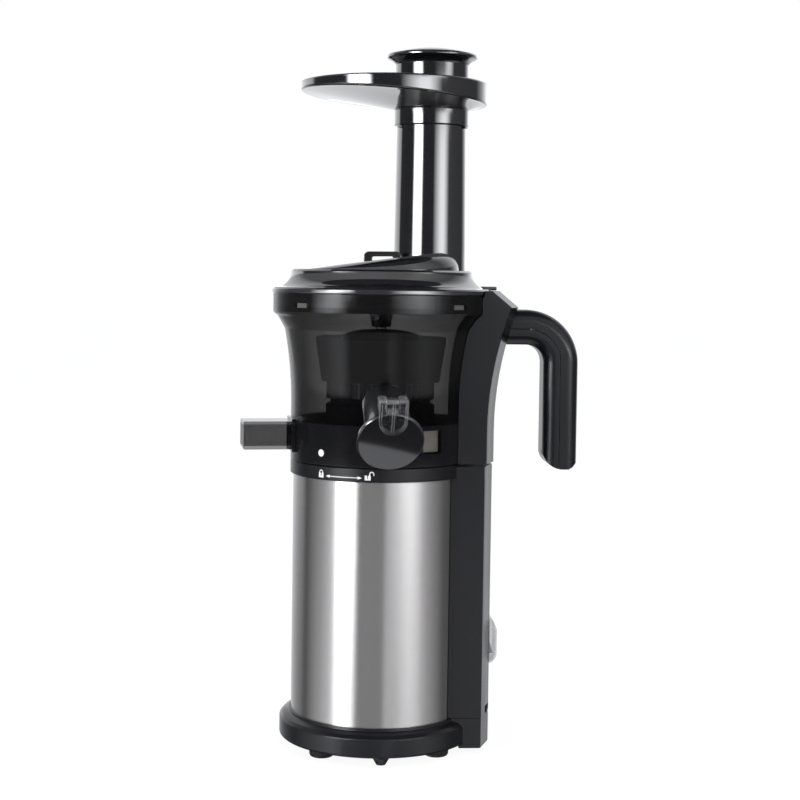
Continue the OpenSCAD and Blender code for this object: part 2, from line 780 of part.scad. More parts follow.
module auger() {
    n = auger_sides;
    // the last rings round off into a dome that covers the ends of the flights
    m = auger_rings;
    b = m - dome_rings;
    wing_h = auger_h - dome_h;
    outer = [for (k = [0:m], i = [0:n - 1]) let (a = 360 * i / n, p = 90 * (k - b - 1) / dome_rings,
        r = k > b ? auger_dome_r * cos(p) : auger_skin(wing_h / auger_h * k / b, a))
        [r * cos(a), r * sin(a), auger_z + (k > b ? wing_h + dome_h * sin(p) : (wing_h - 0.8) * k / b)]];
    inner = [for (z = [auger_z, auger_z + socket_h + 0.2], i = [0:n - 1]) let (a = 360 * i / n)
        [socket_bore * cos(a), socket_bore * sin(a), z]];
    in0 = n * (m + 1);
    tops = [[0, 0, auger_top], [0, 0, auger_z + socket_h + 0.2]];
    top = in0 + 2 * n;
    color("#1d1e21") polyhedron(concat(outer, inner, tops), concat(
        [for (k = [0:m - 1], i = [0:n - 1]) let (j = (i + 1) % n)
            [k * n + i, (k + 1) * n + i, (k + 1) * n + j]],
        [for (k = [0:m - 1], i = [0:n - 1]) let (j = (i + 1) % n)
            [k * n + i, (k + 1) * n + j, k * n + j]],
        [for (i = [0:n - 1]) let (j = (i + 1) % n) [m * n + i, top, m * n + j]],
        [for (i = [0:n - 1]) let (j = (i + 1) % n) [i, j, in0 + j]],
        [for (i = [0:n - 1]) let (j = (i + 1) % n) [i, in0 + j, in0 + i]],
        [for (i = [0:n - 1]) let (j = (i + 1) % n) [in0 + i, in0 + j, in0 + n + j]],
        [for (i = [0:n - 1]) let (j = (i + 1) % n) [in0 + i, in0 + n + j, in0 + n + i]],
        [for (i = [0:n - 1]) let (j = (i + 1) % n) [in0 + n + i, in0 + n + j, top + 1]]));
}

module auger_pin() {
    color("#b4b7ba") translate([0, 0, auger_top]) cylinder(r = pin_r, h = 6.5);
}

// ---------- bowl ----------

module duct_place() {
    rotate([0, 0, -90 + duct_turn]) children();
}

module spout_place() {
    translate([spout_end, spout_side, mouth_z]) rotate([0, 0, spout_turn]) rotate([0, spout_tilt, 0]) children();
}

module bowl() {
    low = bowl_z + step;
    tube_z = bowl_z + duct_z;
    in_w = duct_w - 2 * duct_wall;
    in_h = duct_h - 2 * duct_wall;
    color([0.16, 0.17, 0.18, 0.55]) difference() {
        union() {
            difference() {
                union() {
                    bowl_body(0, low);
                    duct_place() {
                        translate([bowl_r - 4, -duct_w / 2, tube_z]) cube([duct_end - bowl_r + 4, duct_w, duct_h]);
                        translate([bowl_r - 1.5, -duct_w / 2 - 1.5, tube_z - 1.5])
                            cube([2.6, duct_w + 3, duct_h + 3]);
                    }
                }
                bowl_space();
                // hollow under the floor, where the bowl sits over the spigot of the deck
                translate([0, 0, low - over]) cylinder(r = spigot_r + lug_depth + gap, h = floor_z - low + over);
            }
            translate([0, 0, floor_z]) cylinder(r = boss_r, h = boss_top - floor_z);
            // lugs that turn in under the lugs of the deck
            for (a = [45:90:315])
                arc_block(spigot_r + gap, spigot_r + lug_depth + gap + over, a - lug_half, a + lug_half,
                    low, bowl_z + spigot_h - lug_t - gap);
        }
        translate([0, 0, floor_z - over]) cylinder(r = boss_in, h = boss_top - floor_z + 2 * over);
        duct_place() translate([bowl_r - 8, -in_w / 2, floor_z + floor_t + 0.8])
            cube([duct_end, in_w, tube_z + duct_h - duct_wall - floor_z - floor_t - 0.8]);
        duct_place() translate([bowl_r + 1.4, -in_w / 2, tube_z + duct_wall]) cube([duct_end, in_w, in_h]);
        spout_place() translate([-spout_root - 2, 0, 0]) rotate([0, 90, 0])
            cylinder(r = spout_r - spout_wall, h = spout_root + 20);
        for (a = [window_a:90:window_a + 270]) {
            // groove for a lug of the lid, its window and the slot where the lug enters
            arc_block(collar_in - over, collar_in + groove_d, a - window_half - 1.5, a + lid_turn + window_half + 1.5,
                groove_z, groove_z + groove_t);
            arc_block(collar_in + groove_d / 2, collar_r + over, a - window_half, a + window_half,
                groove_z + window_lip, groove_z + groove_t - window_lip);
            arc_block(collar_in - over, collar_in + groove_d + 0.2, a + lid_turn - window_half - 1,
                a + lid_turn + window_half + 1, groove_z + groove_t - over, lid_z + over);
        }
    }
}

module bowl_gasket() {
    color("#c9c9c4") translate([0, 0, boss_top - 6]) ring(boss_in, shaft_r + fit, 6);
}

module spout() {
    color("#141518") difference() {
        spout_place() union() {
            translate([-spout_root, 0, 0]) rotate([0, 90, 0]) cylinder(r = spout_r, h = spout_root - 1.5);
            // knuckle of the cap hinge
            translate([hinge_x, 0, 0]) rotate([90, 0, 0]) translate([0, 0, -knuckle_w / 2])
                linear_extrude(knuckle_w) {
                    translate([0, hinge_z]) circle(r = knuckle_r);
                    polygon([[-knuckle_r - 3, spout_r - 1.5], [knuckle_r - 0.6, spout_r - 1.5],
                        [knuckle_r - 0.4, hinge_z], [-knuckle_r, hinge_z]]);
                }
        }
        spout_place() translate([-spout_root - 2, 0, 0]) rotate([0, 90, 0])
            cylinder(r = spout_r - spout_wall, h = spout_root + 2 + over);
        spout_place() translate([hinge_x, 0, hinge_z]) rotate([90, 0, 0])
            cylinder(r = hinge_r + snug, h = knuckle_w + 2 * over, center = true);
        bowl_body(snug, bowl_z - over);
    }
}

module juice_cap() {
    color("#17181b") spout_place() {
        rotate([0, 90, 0]) cylinder(r = cap_r - 0.8, h = cap_t);
        translate([0.7, 0, 0]) rotate([0, 90, 0]) cylinder(r = cap_r, h = cap_t - 1.4);
        translate([-3, 0, 0]) rotate([0, 90, 0]) ring(spout_r - spout_wall - 1.2, spout_r - spout_wall - 3, 3);
    }
}

module cap_seal() {
    color("#4a4b4e") spout_place() translate([-1.2, 0, 0]) rotate([0, 90, 0])
        ring(spout_r + 0.6, spout_r - spout_wall - 1, 1.2);
}

// a shallow clear tray with a middle rib; two cheeks reach back to the pin on each side of the knuckle
module cap_lever() {
    half = lever_w / 2;
    foot = lever_h + 8;
    arm_in = knuckle_w / 2 + gap;
    deep = 4.7;
    color([0.2, 0.21, 0.22, 0.6]) spout_place() difference() {
        union() {
            translate([cap_t, 0, 0]) rotate([90, 0, 90]) linear_extrude(deep) {
                translate([-half, foot - lever_h + half]) square([lever_w, lever_h - half]);
                translate([0, foot - lever_h + half]) circle(r = half);
            }
            for (s = [-1, 1]) translate([0, s > 0 ? arm_in : -half, 0]) rotate([90, 0, 0])
                translate([0, 0, -half + arm_in]) linear_extrude(half - arm_in) {
                    translate([hinge_x, hinge_z]) circle(r = knuckle_r + 0.4);
                    polygon([[hinge_x, hinge_z - 3.2], [cap_t + 0.2, cap_r + 0.4], [cap_t + 0.2, hinge_z + 5],
                        [hinge_x, hinge_z + 3.4]]);
                }
        }
        translate([cap_t + 1.2, 0, 0]) rotate([90, 0, 90]) linear_extrude(deep) difference() {
            union() {
                translate([-half + 1.2, foot - lever_h + half])
                    square([lever_w - 2.4, lever_h - half - 1.2]);
                translate([0, foot - lever_h + half]) circle(r = half - 1.2);
            }
            translate([-0.6, 0]) square([1.2, foot]);
        }
        translate([hinge_x, 0, hinge_z]) rotate([90, 0, 0]) cylinder(r = hinge_r, h = lever_w + 2, center = true);
    }
}

module cap_pin() {
    color("silver") spout_place() translate([hinge_x, 0, hinge_z]) rotate([90, 0, 0])
        cylinder(r = hinge_r, h = lever_w - 0.6, center = true);
}

// ---------- strainer ----------

// inner radius of the mesh, which widens upwards with the auger
function mesh_at(z) = mesh_in + (mesh_top_in - mesh_in) * (z - auger_z) / auger_h;

module strainer_frame() {
    foot_z = floor_z + floor_t;
    inner = mesh_at(funnel_z) + mesh_t + snug;
    color("#1a1b1e") difference() {
        union() {
            // lower ring, on the floor of the bowl
            rotate_extrude() polygon([[boss_r + 3, foot_z], [ring_r - 1, foot_z], [ring_r, foot_z + 1],
                [ring_r, ring_z - 0.5], [ring_r - 0.5, ring_z], [ring_r - 2.6, ring_z], [ring_r - 2.6, basket_z - 0.4],
                [ring_r - 3, basket_z], [mesh_in, basket_z], [mesh_in, auger_z - 1.5], [boss_r + 3, auger_z - 1.5]]);
            for (i = [0:basket_ribs - 1]) rotate([0, 0, 360 * i / basket_ribs])
                translate([mesh_in, -1, basket_z - over]) cube([basket_r - mesh_in, 2, funnel_z - basket_z + 2 * over]);
            // funnel ring
            rotate_extrude() polygon([[inner - over, funnel_z], [basket_r + 3, funnel_z], [funnel_r, strainer_z - 1],
                [funnel_r - 0.8, strainer_z], [funnel_r - 2.2, strainer_z], [inner + 3, funnel_z + funnel_t],
                [inner - over, funnel_z + funnel_t]]);
        }
        // seat of the mesh
        rotate_extrude() polygon([[0, auger_z - 1.5], [mesh_at(auger_z - 1.5) + mesh_t + snug, auger_z - 1.5],
            [mesh_at(strainer_z) + mesh_t + snug, strainer_z], [0, strainer_z]]);
        duct_place() translate([boss_r + 2, -duct_w / 2 + duct_wall, foot_z + 0.8])
            cube([bowl_r, duct_w - 2 * duct_wall, auger_z - foot_z - 0.8 + 3]);
    }
}

// slots through a thin cone that stands round the auger
module strainer_mesh() {
    z0 = auger_z + 1;
    z1 = funnel_z + funnel_t;
    color("#6b6d70") difference() {
        rotate_extrude() polygon([[mesh_at(z0), z0], [mesh_at(z0) + mesh_t, z0], [mesh_at(z1) + mesh_t, z1],
            [mesh_at(z1), z1]]);
        for (i = [0:slot_count - 1]) rotate([0, 0, 360 * i / slot_count])
            translate([mesh_in - 2, -0.5, basket_z + 1.4]) cube([8, 1, funnel_z - basket_z - 2.8]);
    }
}

// ---------- spine above the deck, and handle ----------

function spine_back(z) = spine_y + 0.8 + (z > lean_z ? lean_k * pow(z - lean_z, 2) : 0);

// side outline of the upper spine: k and shift turn the back into the bevelled faces
module spine_side_view(k, shift) {
    low = bowl_z + step;
    zs = [for (i = [0:9]) lean_z + (lean_top - lean_z) * i / 9];
    polygon(concat([[0, low], [k * spine_back(low) + shift, low]],
        [for (z = zs) [k * spine_back(z) + shift, z]],
        [[k * slope_y + shift, spine_top], [0, spine_top]]));
}

module spine_form(grow = 0) {
    intersection() {
        across(spine_w + 2 * grow) spine_side_view(1, grow);
        rotate([0, 0, -bevel]) across(4 * spine_w) spine_side_view(cos(bevel), flat_side * sin(bevel) + grow);
        rotate([0, 0, bevel]) across(4 * spine_w) spine_side_view(cos(bevel), flat_side * sin(bevel) + grow);
    }
}

module around_bowl(grow) {
    bowl_body(grow, bowl_z - over, lid_z - 0.5);
    translate([0, 0, lid_z - 1]) cylinder(r = shelf_r, h = spine_top);
}

module handle_mount() {
    color("#1a1b1e") difference() {
        across(spine_w) spine_side_view(1, -spine_cut);
        around_bowl(0.1);
        difference() {
            translate([0, 0, base_wall]) intersection() {
                across(spine_w - 2 * base_wall) spine_side_view(1, -spine_cut + over);
                translate([0, 0, -2 * base_wall - 2]) across(spine_w) spine_side_view(1, 0);
            }
            bowl_body(mount_wall + 0.1, bowl_z - over, lid_z + 20);
        }
        // room for the heads of the bolts
        for (z = bolt_z) translate([0, bolt_y(z) - snug, z]) rotate([-90, 0, 0])
            cylinder(r = bolt_head_r + gap, h = bolt_len);
    }
}

module spine_cover() {
    color("#1c1d20") difference() {
        spine_form();
        across(2 * spine_w) spine_side_view(1, -spine_cut + 0.1);
        around_bowl(0.1);
        handle_bolt_cut(bolt_r + fit);
    }
}

module handle_bolt_cut(r) {
    for (z = bolt_z) translate([0, spine_edge, z]) rotate([-90, 0, 0]) cylinder(r = r, h = 36);
}

function bolt_y(z) = spine_back(z) - spine_cut - bolt_set;

module handle_bolts() {
    color("silver") for (z = bolt_z) translate([0, bolt_y(z), z]) rotate([-90, 0, 0]) {
        cylinder(r = bolt_r, h = bolt_len);
        cylinder(r = bolt_head_r, h = bolt_head);
    }
}

// section of the handle: distance from the bend centre across, width along, kept between lo and hi
module handle_section(lo, hi) {
    corner = 7;
    intersection() {
        union() {
            translate([bend_r, -handle_w / 2 + corner]) square([handle_t, handle_w - 2 * corner]);
            translate([bend_r + corner, -handle_w / 2]) square([handle_t - 2 * corner, handle_w]);
            for (r = [bend_r + corner, bend_r + handle_t - corner], x = [-1, 1])
                translate([r, x * (handle_w / 2 - corner)]) circle(r = corner);
        }
        translate([lo, -handle_w]) square([hi - lo, 2 * handle_w]);
    }
}

module handle_part(lo, hi) {
    difference() {
        union() {
            translate([0, spine_edge, bend_z]) rotate([0, -90, -90]) linear_extrude(bend_y - spine_edge)
                handle_section(lo, hi);
            translate([0, bend_y, bend_z]) rotate([0, 90, 0]) rotate([0, 0, 90]) rotate_extrude(angle = 90)
                handle_section(lo, hi);
            intersection() {
                translate([0, bend_y, bend_z]) rotate([180, 0, 90]) linear_extrude(bend_z - grip_z)
                    handle_section(lo, hi);
                // rounded lower end
                across(2 * handle_w) {
                    translate([grip_y, grip_z + 12]) square([handle_t, bend_z]);
                    translate([grip_y + 12, grip_z]) square([handle_t - 17, 20]);
                    translate([grip_y + 12, grip_z + 12]) circle(r = 12);
                    translate([grip_end - 7, grip_z + 7]) circle(r = 7);
                    translate([grip_end - 7, grip_z + 7]) square([7, 8]);
                }
            }
        }
        spine_form(0.1);
        handle_bolt_cut(bolt_r + 0.02);
    }
}

module handle_inner() {
    color("#191a1d") handle_part(bend_r, seam_r - 0.1);
}

module handle_outer() {
    color("#17181b") handle_part(seam_r + 0.1, bend_r + handle_t);
}

// ---------- lid ----------

// disc with a sloping top, lowered by drop and carried down by deep
module hump(r, drop, deep) {
    front = plateau_z + hump_h - 2 * hump_r * tan(hump_tilt) - drop;
    intersection() {
        translate([0, 0, plateau_z - deep]) cylinder(r = r, h = hump_h + deep + over);
        across(3 * hump_r) polygon([[-hump_r, plateau_z - deep - over], [hump_r, plateau_z - deep - over],
            [hump_r, plateau_z + hump_h - drop], [-hump_r, max(front, plateau_z + 0.2 - drop)]]);
    }
}

module lid() {
    low = lid_z - skirt_drop;
    color("#121316") difference() {
        union() {
            rotate_extrude() polygon([[0, lid_z], [rim_r, lid_z], [rim_r, lid_z + 2.6], [rim_r - 0.5, lid_z + 3],
                each [for (t = [12:13:90]) [top_r + 0.2 + (rim_r - top_r - 1.7) * (1 - sin(t)),
                    plateau_z - 1.3 - (lid_h - 4.7) * cos(t)]],
                [top_r - 1, plateau_z], [0, plateau_z]]);
            translate([0, 0, low]) cylinder(r = skirt_out, h = skirt_drop + 0.5);
            for (a = [window_a:90:window_a + 270])
                arc_block(skirt_out - 0.3, collar_in + groove_d - gap, a - window_half + 0.6, a + window_half - 0.6,
                    groove_z + gap, groove_z + groove_t - gap);
            hump(hump_r, 0, over);
            // tab over the top of the spine
            intersection() {
                translate([-9, shelf_r - 9, spine_top + gap]) cube([18, slope_y - shelf_r + 9, 2.2]);
                cylinder(r = slope_y, h = spine_top + 20);
            }
            // loop on top
            translate([loop_x, -12, plateau_z + 3]) cube([loop_deep, loop_w, loop_h]);
        }
        difference() {
            union() {
                translate([0, 0, low - over]) cylinder(r = skirt_out - skirt_wall, h = skirt_drop + over + 0.4);
                translate([0, 0, lid_z - over]) cylinder(r = top_r - lid_wall, h = lid_h - lid_wall + over);
                hump(hump_r - lid_wall, lid_wall, lid_wall + over);
            }
            translate([0, 0, hub_z]) cylinder(r = hub_r, h = plateau_z);
        }
        translate([loop_x - 1, loop_leg - 12, plateau_z + 6]) cube([loop_deep + 2, loop_w - 2 * loop_leg, loop_h - 5.6]);
        translate([0, 0, hub_z - over]) cylinder(r = bush_r, h = 10);
        translate([0, chute_y, lid_z - over]) cylinder(r = stub_r + snug, h = lid_h + hump_h + 2 * over);
        translate([0, chute_y, shoulder_z]) cylinder(r = chute_base_r + snug, h = hump_h + over);
    }
    // the hub narrows towards the auger
    color("#121316") rotate_extrude() polygon([[bush_r, hub_z], [bush_r + 1, hub_z], [hub_r, low - 3],
        [hub_r, plateau_z - lid_wall + 0.5], [bush_r, plateau_z - lid_wall + 0.5]]);
}

module lid_seal() {
    color("#17181a") translate([0, 0, lid_z - skirt_drop - seal_t - snug])
        ring(skirt_out - 0.4, skirt_out - skirt_wall, seal_t);
}

module lid_bush() {
    color("#d8d2c0") translate([0, 0, hub_z + 0.2]) ring(bush_r, pin_r + 0.1, 8);
}

// the shoulder stands in the hump of the lid, and the narrow foot reaches into the bowl
module feed_chute() {
    color("#111215") translate([0, chute_y, 0]) difference() {
        rotate_extrude() polygon([[0, chute_foot], [stub_r, chute_foot], [stub_r, shoulder_z + snug],
            [chute_base_r, shoulder_z + snug], [chute_base_r, plateau_z + hump_h + 6],
            [chute_r, chute_z - chute_seat - 0.3], [chute_r - 0.2, chute_z - chute_seat],
            [chute_r - 0.2, chute_z - 0.6], [chute_r - 0.7, chute_z], [0, chute_z]]);
        translate([0, 0, chute_foot - over]) cylinder(r = chute_in, h = chute_z - chute_foot + 2 * over);
    }
}

// ---------- tray and pusher ----------

// Y and Z outline above the sloping lower edge of the tray rim, raised by lift
module above_rim(lift) {
    y0 = tray_y - tray_r;
    y1 = tray_y + tray_r;
    polygon([[y0, tray_z - rim_front + lift], [y1, tray_z - rim_back + lift],
        [y1, tray_z + 2 * over], [y0, tray_z + 2 * over]]);
}

// thin sloping disc parallel to the lower edge of the rim
module rim_disc(r, lift, t) {
    slope = atan((rim_back - rim_front) / (2 * tray_r));
    translate([0, tray_y, tray_z - (rim_front + rim_back) / 2 + lift]) rotate([-slope, 0, 0])
        cylinder(r = r, h = t, $fn = 64);
}

module feed_tray() {
    low = chute_z - chute_seat;
    color("#131417") difference() {
        union() {
            intersection() {
                translate([0, tray_y, low]) cylinder(r = tray_r, h = tray_z - low);
                across(3 * tray_r) above_rim(0);
            }
            hull() {
                rim_disc(tray_r - 2.4, 0.1, 1);
                translate([0, chute_y, chute_z - 3.4]) cylinder(r = chute_r + collar_wall - 0.6, h = 1, $fn = 64);
            }
            translate([0, chute_y, low]) cylinder(r = chute_r + collar_wall, h = chute_seat);
        }
        intersection() {
            translate([0, tray_y, low]) cylinder(r = tray_r - 2.2, h = tray_z);
            across(3 * tray_r) above_rim(2.4);
        }
        hull() {
            rim_disc(tray_r - 2.3, 2.5, 0.2);
            translate([0, chute_y, seat_z]) cylinder(r = mouth_r, h = 0.5, $fn = 64);
        }
        translate([0, chute_y, low - over]) cylinder(r = chute_r - 0.1, h = chute_seat + over + 0.1);
        translate([0, chute_y, low]) cylinder(r = chute_in, h = tray_h + chute_seat);
    }
}

module pusher() {
    foot = chute_foot + 2;
    color("#101114") translate([0, chute_y, 0]) rotate_extrude() polygon([
        [0, foot], [plunger_r - 1, foot], [plunger_r, foot + 1], [plunger_r, seat_z + 0.1 + step],
        [neck_r, seat_z + 0.1 + step], [neck_r, lip_z - 2.4], [neck_r + 1.2, lip_z - 0.4], [lip_r - 1.6, lip_z + 1.2],
        [lip_r, lip_z + 2.4], [lip_r, lip_z + 3.4], [lip_r - 0.8, lip_z + 4.3], [lip_r - 2, lip_z + 4.6],
        [lip_r - 2.4, lip_z + 3.2], [neck_r - 2.4, lip_z + 1], [neck_r - 2.4, seat_z + 3],
        [plunger_r - 2, seat_z], [plunger_r - 2, foot + 2], [0, foot + 2]]);
}

module pusher_cap() {
    color("#141518") translate([0, chute_y, 0]) rotate_extrude() polygon([
        [0, lip_z + 3.4], [lip_r - 2.6, lip_z + 3.4], [lip_r - 2.6, lip_z + 4.8],
        [lip_r - 6, lip_z + 6.4], [lip_r - 12, lip_z + 8.2], [lip_r - 19, lip_z + 9.4], [0, lip_z + 9.9]]);
}

base_skirt();
bottom_plate();
rubber_feet();
base_screws();
steel_sleeve();
motor_housing();
top_deck();
shaft_seal();
spine_shell();
rear_cover();
cord_gland();
switch_body();
switch_bezel();
switch_cover();
switch_rocker();
motor_can();
stator();
motor_bearings();
gearbox_case();
gearbox_cover();
counter_shaft();
output_bearing();
rotor_core();
rotor_shaft();
cooling_fan();
counter_gear();
output_gear();
drive_shaft();
auger_socket();
auger();
auger_pin();
bowl();
bowl_gasket();
spout();
strainer_frame();
strainer_mesh();
handle_mount();
spine_cover();
handle_outer();
handle_inner();
handle_bolts();
juice_cap();
cap_seal();
cap_lever();
cap_pin();
lid();
lid_seal();
lid_bush();
feed_chute();
feed_tray();
pusher();
pusher_cap();
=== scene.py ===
from math import atan, ceil, cos, hypot, pi, radians, sin, tan

import bpy
import bmesh
from mathutils import Matrix, Vector


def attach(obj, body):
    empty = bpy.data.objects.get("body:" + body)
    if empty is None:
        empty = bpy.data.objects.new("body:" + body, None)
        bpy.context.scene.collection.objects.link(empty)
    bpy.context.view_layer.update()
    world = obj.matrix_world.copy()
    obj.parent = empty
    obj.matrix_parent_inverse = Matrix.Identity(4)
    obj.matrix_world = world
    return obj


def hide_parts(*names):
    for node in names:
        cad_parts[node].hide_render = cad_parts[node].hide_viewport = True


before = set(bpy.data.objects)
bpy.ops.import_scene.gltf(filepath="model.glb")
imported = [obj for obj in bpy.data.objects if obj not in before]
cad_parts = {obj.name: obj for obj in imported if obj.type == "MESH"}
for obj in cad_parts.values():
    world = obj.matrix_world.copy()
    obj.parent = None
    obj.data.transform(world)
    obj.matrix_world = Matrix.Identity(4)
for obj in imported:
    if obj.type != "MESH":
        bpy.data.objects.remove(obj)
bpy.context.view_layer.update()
mm = 0.001


# shader helpers

class Wire:
    # an output socket that can be added, multiplied and so on
    def __init__(self, desk, out):
        self.desk = desk
        self.out = out

    def calc(self, operation, *rest):
        return self.desk.add("ShaderNodeMath", [self, *rest], operation=operation)

    def __add__(self, other):
        return self.calc("ADD", other)

    def __sub__(self, other):
        return self.calc("SUBTRACT", other)

    def __rsub__(self, other):
        return self.desk.add("ShaderNodeMath", [other, self], operation="SUBTRACT")

    def __mul__(self, other):
        return self.calc("MULTIPLY", other)

    def __truediv__(self, other):
        return self.calc("DIVIDE", other)

    __radd__ = __add__
    __rmul__ = __mul__


class Desk:
    # a node tree: of one material, of the world or of a geometry modifier
    def __init__(self, tree):
        self.tree = tree
        tree.nodes.clear()

    def add(self, kind, inputs=(), out=0, **settings):
        # a node with its settings, then the values or links of its sockets
        node = self.tree.nodes.new(kind)
        for key, value in settings.items():
            if key == "stops":
                ramp = node.color_ramp
                while len(ramp.elements) > 1:
                    ramp.elements.remove(ramp.elements[-1])
                for i, (at, colour) in enumerate(value):
                    stop = ramp.elements[0] if i == 0 else ramp.elements.new(at)
                    stop.position = at
                    stop.color = colour
            else:
                setattr(node, key, value)
        for key, value in (inputs.items() if isinstance(inputs, dict) else enumerate(inputs)):
            if isinstance(value, Wire):
                self.tree.links.new(value.out, node.inputs[key])
            else:
                node.inputs[key].default_value = value
        return Wire(self, node.outputs[out]) if len(node.outputs) else None

    def mixColour(self, factor, a, b, blend="MIX"):
        return self.add("ShaderNodeMix", {0: factor, 6: a, 7: b}, 2, data_type="RGBA", blend_type=blend)

    def axes(self, vector):
        split = self.add("ShaderNodeSeparateXYZ", [vector])
        return [Wire(self, out) for out in split.out.node.outputs]

    def noise(self, place, scale, detail, roughness=0.5):
        return self.add("ShaderNodeTexNoise", {
            "Vector": place, "Scale": scale, "Detail": detail, "Roughness": roughness})

    def step(self, value, low, high):
        # 0 below low and 1 above high, with a soft change between them
        return self.add("ShaderNodeMapRange", {0: value, 1: low, 2: high, 3: 0.0, 4: 1.0},
                        interpolation_type="SMOOTHSTEP")

    def relief(self, height, depth, strength=1.0, edge=0.0):
        # fine relief, over corners that are rounded by edge where it is given
        inputs = {"Strength": strength, "Distance": depth * mm, "Height": height}
        if edge:
            inputs["Normal"] = self.add("ShaderNodeBevel", {"Radius": edge * mm}, samples=4)
        return self.add("ShaderNodeBump", inputs)

    def surface(self, values):
        shader = self.add("ShaderNodeBsdfPrincipled", values)
        self.add("ShaderNodeOutputMaterial", {"Surface": shader})


def newMaterial(name):
    made = bpy.data.materials.new(name)
    made.use_nodes = True
    return made, Desk(made.node_tree)


# materials

def plastic(name, colour, rough, ior=1.5, shine=0.5, coat=0.0, coatRough=0.08, coatIor=1.5, dust=0.05,
            uneven=0.06, waves=0.25, grainHeight=0.006):
    # moulded plastic: faint dust, fine scratches and the slow waves of a moulded skin
    made, desk = newMaterial(name)
    place = desk.add("ShaderNodeTexCoord", out=3)
    cloud = desk.noise(place, 38, 3, 0.6)
    grain = desk.noise(place, 2600, 2)
    wave = desk.noise(place, 26, 1)
    dusty = desk.add("ShaderNodeMapRange", {0: cloud, 1: 0.52, 2: 0.8, 3: 0.0, 4: dust})
    desk.surface({
        "Base Color": desk.mixColour(dusty, colour, (0.25, 0.25, 0.26, 1)),
        "Roughness": rough + (cloud - 0.5) * uneven,
        "Normal": desk.relief(wave * waves + grain * grainHeight, 0.12, edge=0.5),
        "IOR": ior, "Specular IOR Level": shine,
        "Coat Weight": coat, "Coat Roughness": coatRough, "Coat IOR": coatIor})
    return made


def smoke(name, colour, colour2, rough, tint, edgeTint, edgeBlend=0.35, edgePower=1.0, ior=1.58, shine=0.9,
          foot=None):
    # clear tinted plastic: every wall is two skins, each with this share of the tint
    made, desk = newMaterial(name)
    place = desk.add("ShaderNodeTexCoord", out=3)
    cloud = desk.noise(place, 30, 3)
    wave = desk.noise(place, 45, 1)
    facing = desk.add("ShaderNodeLayerWeight", {"Blend": edgeBlend}, 1)
    # more tint where a wall is seen edge-on; with a pale colour this paints highlights along the outlines
    tint = tint + facing.calc("POWER", edgePower) * edgeTint
    colour = desk.mixColour(cloud, colour, colour2)
    if foot:
        # the foot of the bowl is less clear and takes its own dark colour, apart from a clearer panel beside
        # the spout
        x, y, z = desk.axes(place)

        def between(value, low, high, soft):
            return (desk.step(value, low - soft, low + soft)
                    * (1 - desk.step(value, high - soft, high + soft)))

        across = (x * x + y * y).calc("SQRT")
        turn = y.calc("ARCTAN2", x) * (180 / pi)
        # thick is the mask of the less clear foot; how the real foot is made there is not known
        thick = between(z, *[v * mm for v in foot["z"]]) * between(across, *[v * mm for v in foot["r"]])
        panel = between(turn, *foot["panel"]) * between(z, *[v * mm for v in foot["panelZ"]])
        tint = tint + thick * ((1 - panel) * foot["tint"] - panel * foot["panelTint"])
        colour = desk.mixColour(thick, colour, foot["colour"])
    desk.surface({
        "Base Color": colour, "Roughness": rough + (cloud - 0.5) * 0.04, "Alpha": tint.calc("MINIMUM", 1.0),
        "Normal": desk.relief(wave * 0.3, 0.1, edge=0.4), "IOR": ior, "Specular IOR Level": shine})
    return made


def brushed(name, dark, light, rough, along, across, stretch):
    # steel brushed round the body: the grain runs with the angle, so it is fine along Z
    made, desk = newMaterial(name)
    place = desk.add("ShaderNodeTexCoord", out=3)
    x, y, z = desk.axes(place)
    turn = y.calc("ARCTAN2", x)
    lines = [turn * along, z * across, 0.0]
    fine = desk.noise(desk.add("ShaderNodeCombineXYZ", lines), 1.0, 3, 0.6)
    bands = [turn * along * 2.0, z * across * 0.12, 4.0]
    broad = desk.noise(desk.add("ShaderNodeCombineXYZ", bands), 1.0, 2)
    desk.surface({
        "Base Color": desk.mixColour(fine * 0.5 + broad * 0.5, dark, light),
        "Metallic": 1.0, "Roughness": rough + (fine - 0.5) * 0.05 + (broad - 0.5) * 0.03,
        "Normal": desk.relief(fine + broad * 0.5, 0.03, 0.12, 0.2),
        "Anisotropic": stretch, "Anisotropic Rotation": 0.25})
    return made


def metal(name, dark, light, rough, scale=400):
    made, desk = newMaterial(name)
    place = desk.add("ShaderNodeTexCoord", out=3)
    cloud = desk.noise(place, scale, 4)
    desk.surface({
        "Base Color": desk.mixColour(cloud, dark, light), "Metallic": 1.0,
        "Roughness": rough + (cloud - 0.5) * 0.15, "Normal": desk.relief(cloud, 0.05, 0.3)})
    return made


def soft(name, dark, light, rough, glow=0.0):
    # silicone, rubber and printing ink; glow is painted light, an even glow from a thing that is no lamp
    made, desk = newMaterial(name)
    place = desk.add("ShaderNodeTexCoord", out=3)
    cloud = desk.noise(place, 220, 4)
    desk.surface({
        "Base Color": desk.mixColour(cloud, dark, light), "Roughness": rough + (cloud - 0.5) * 0.1,
        "Normal": desk.relief(cloud, 0.1, 0.4),
        "Emission Color": (1, 1, 1, 1), "Emission Strength": glow})
    return made


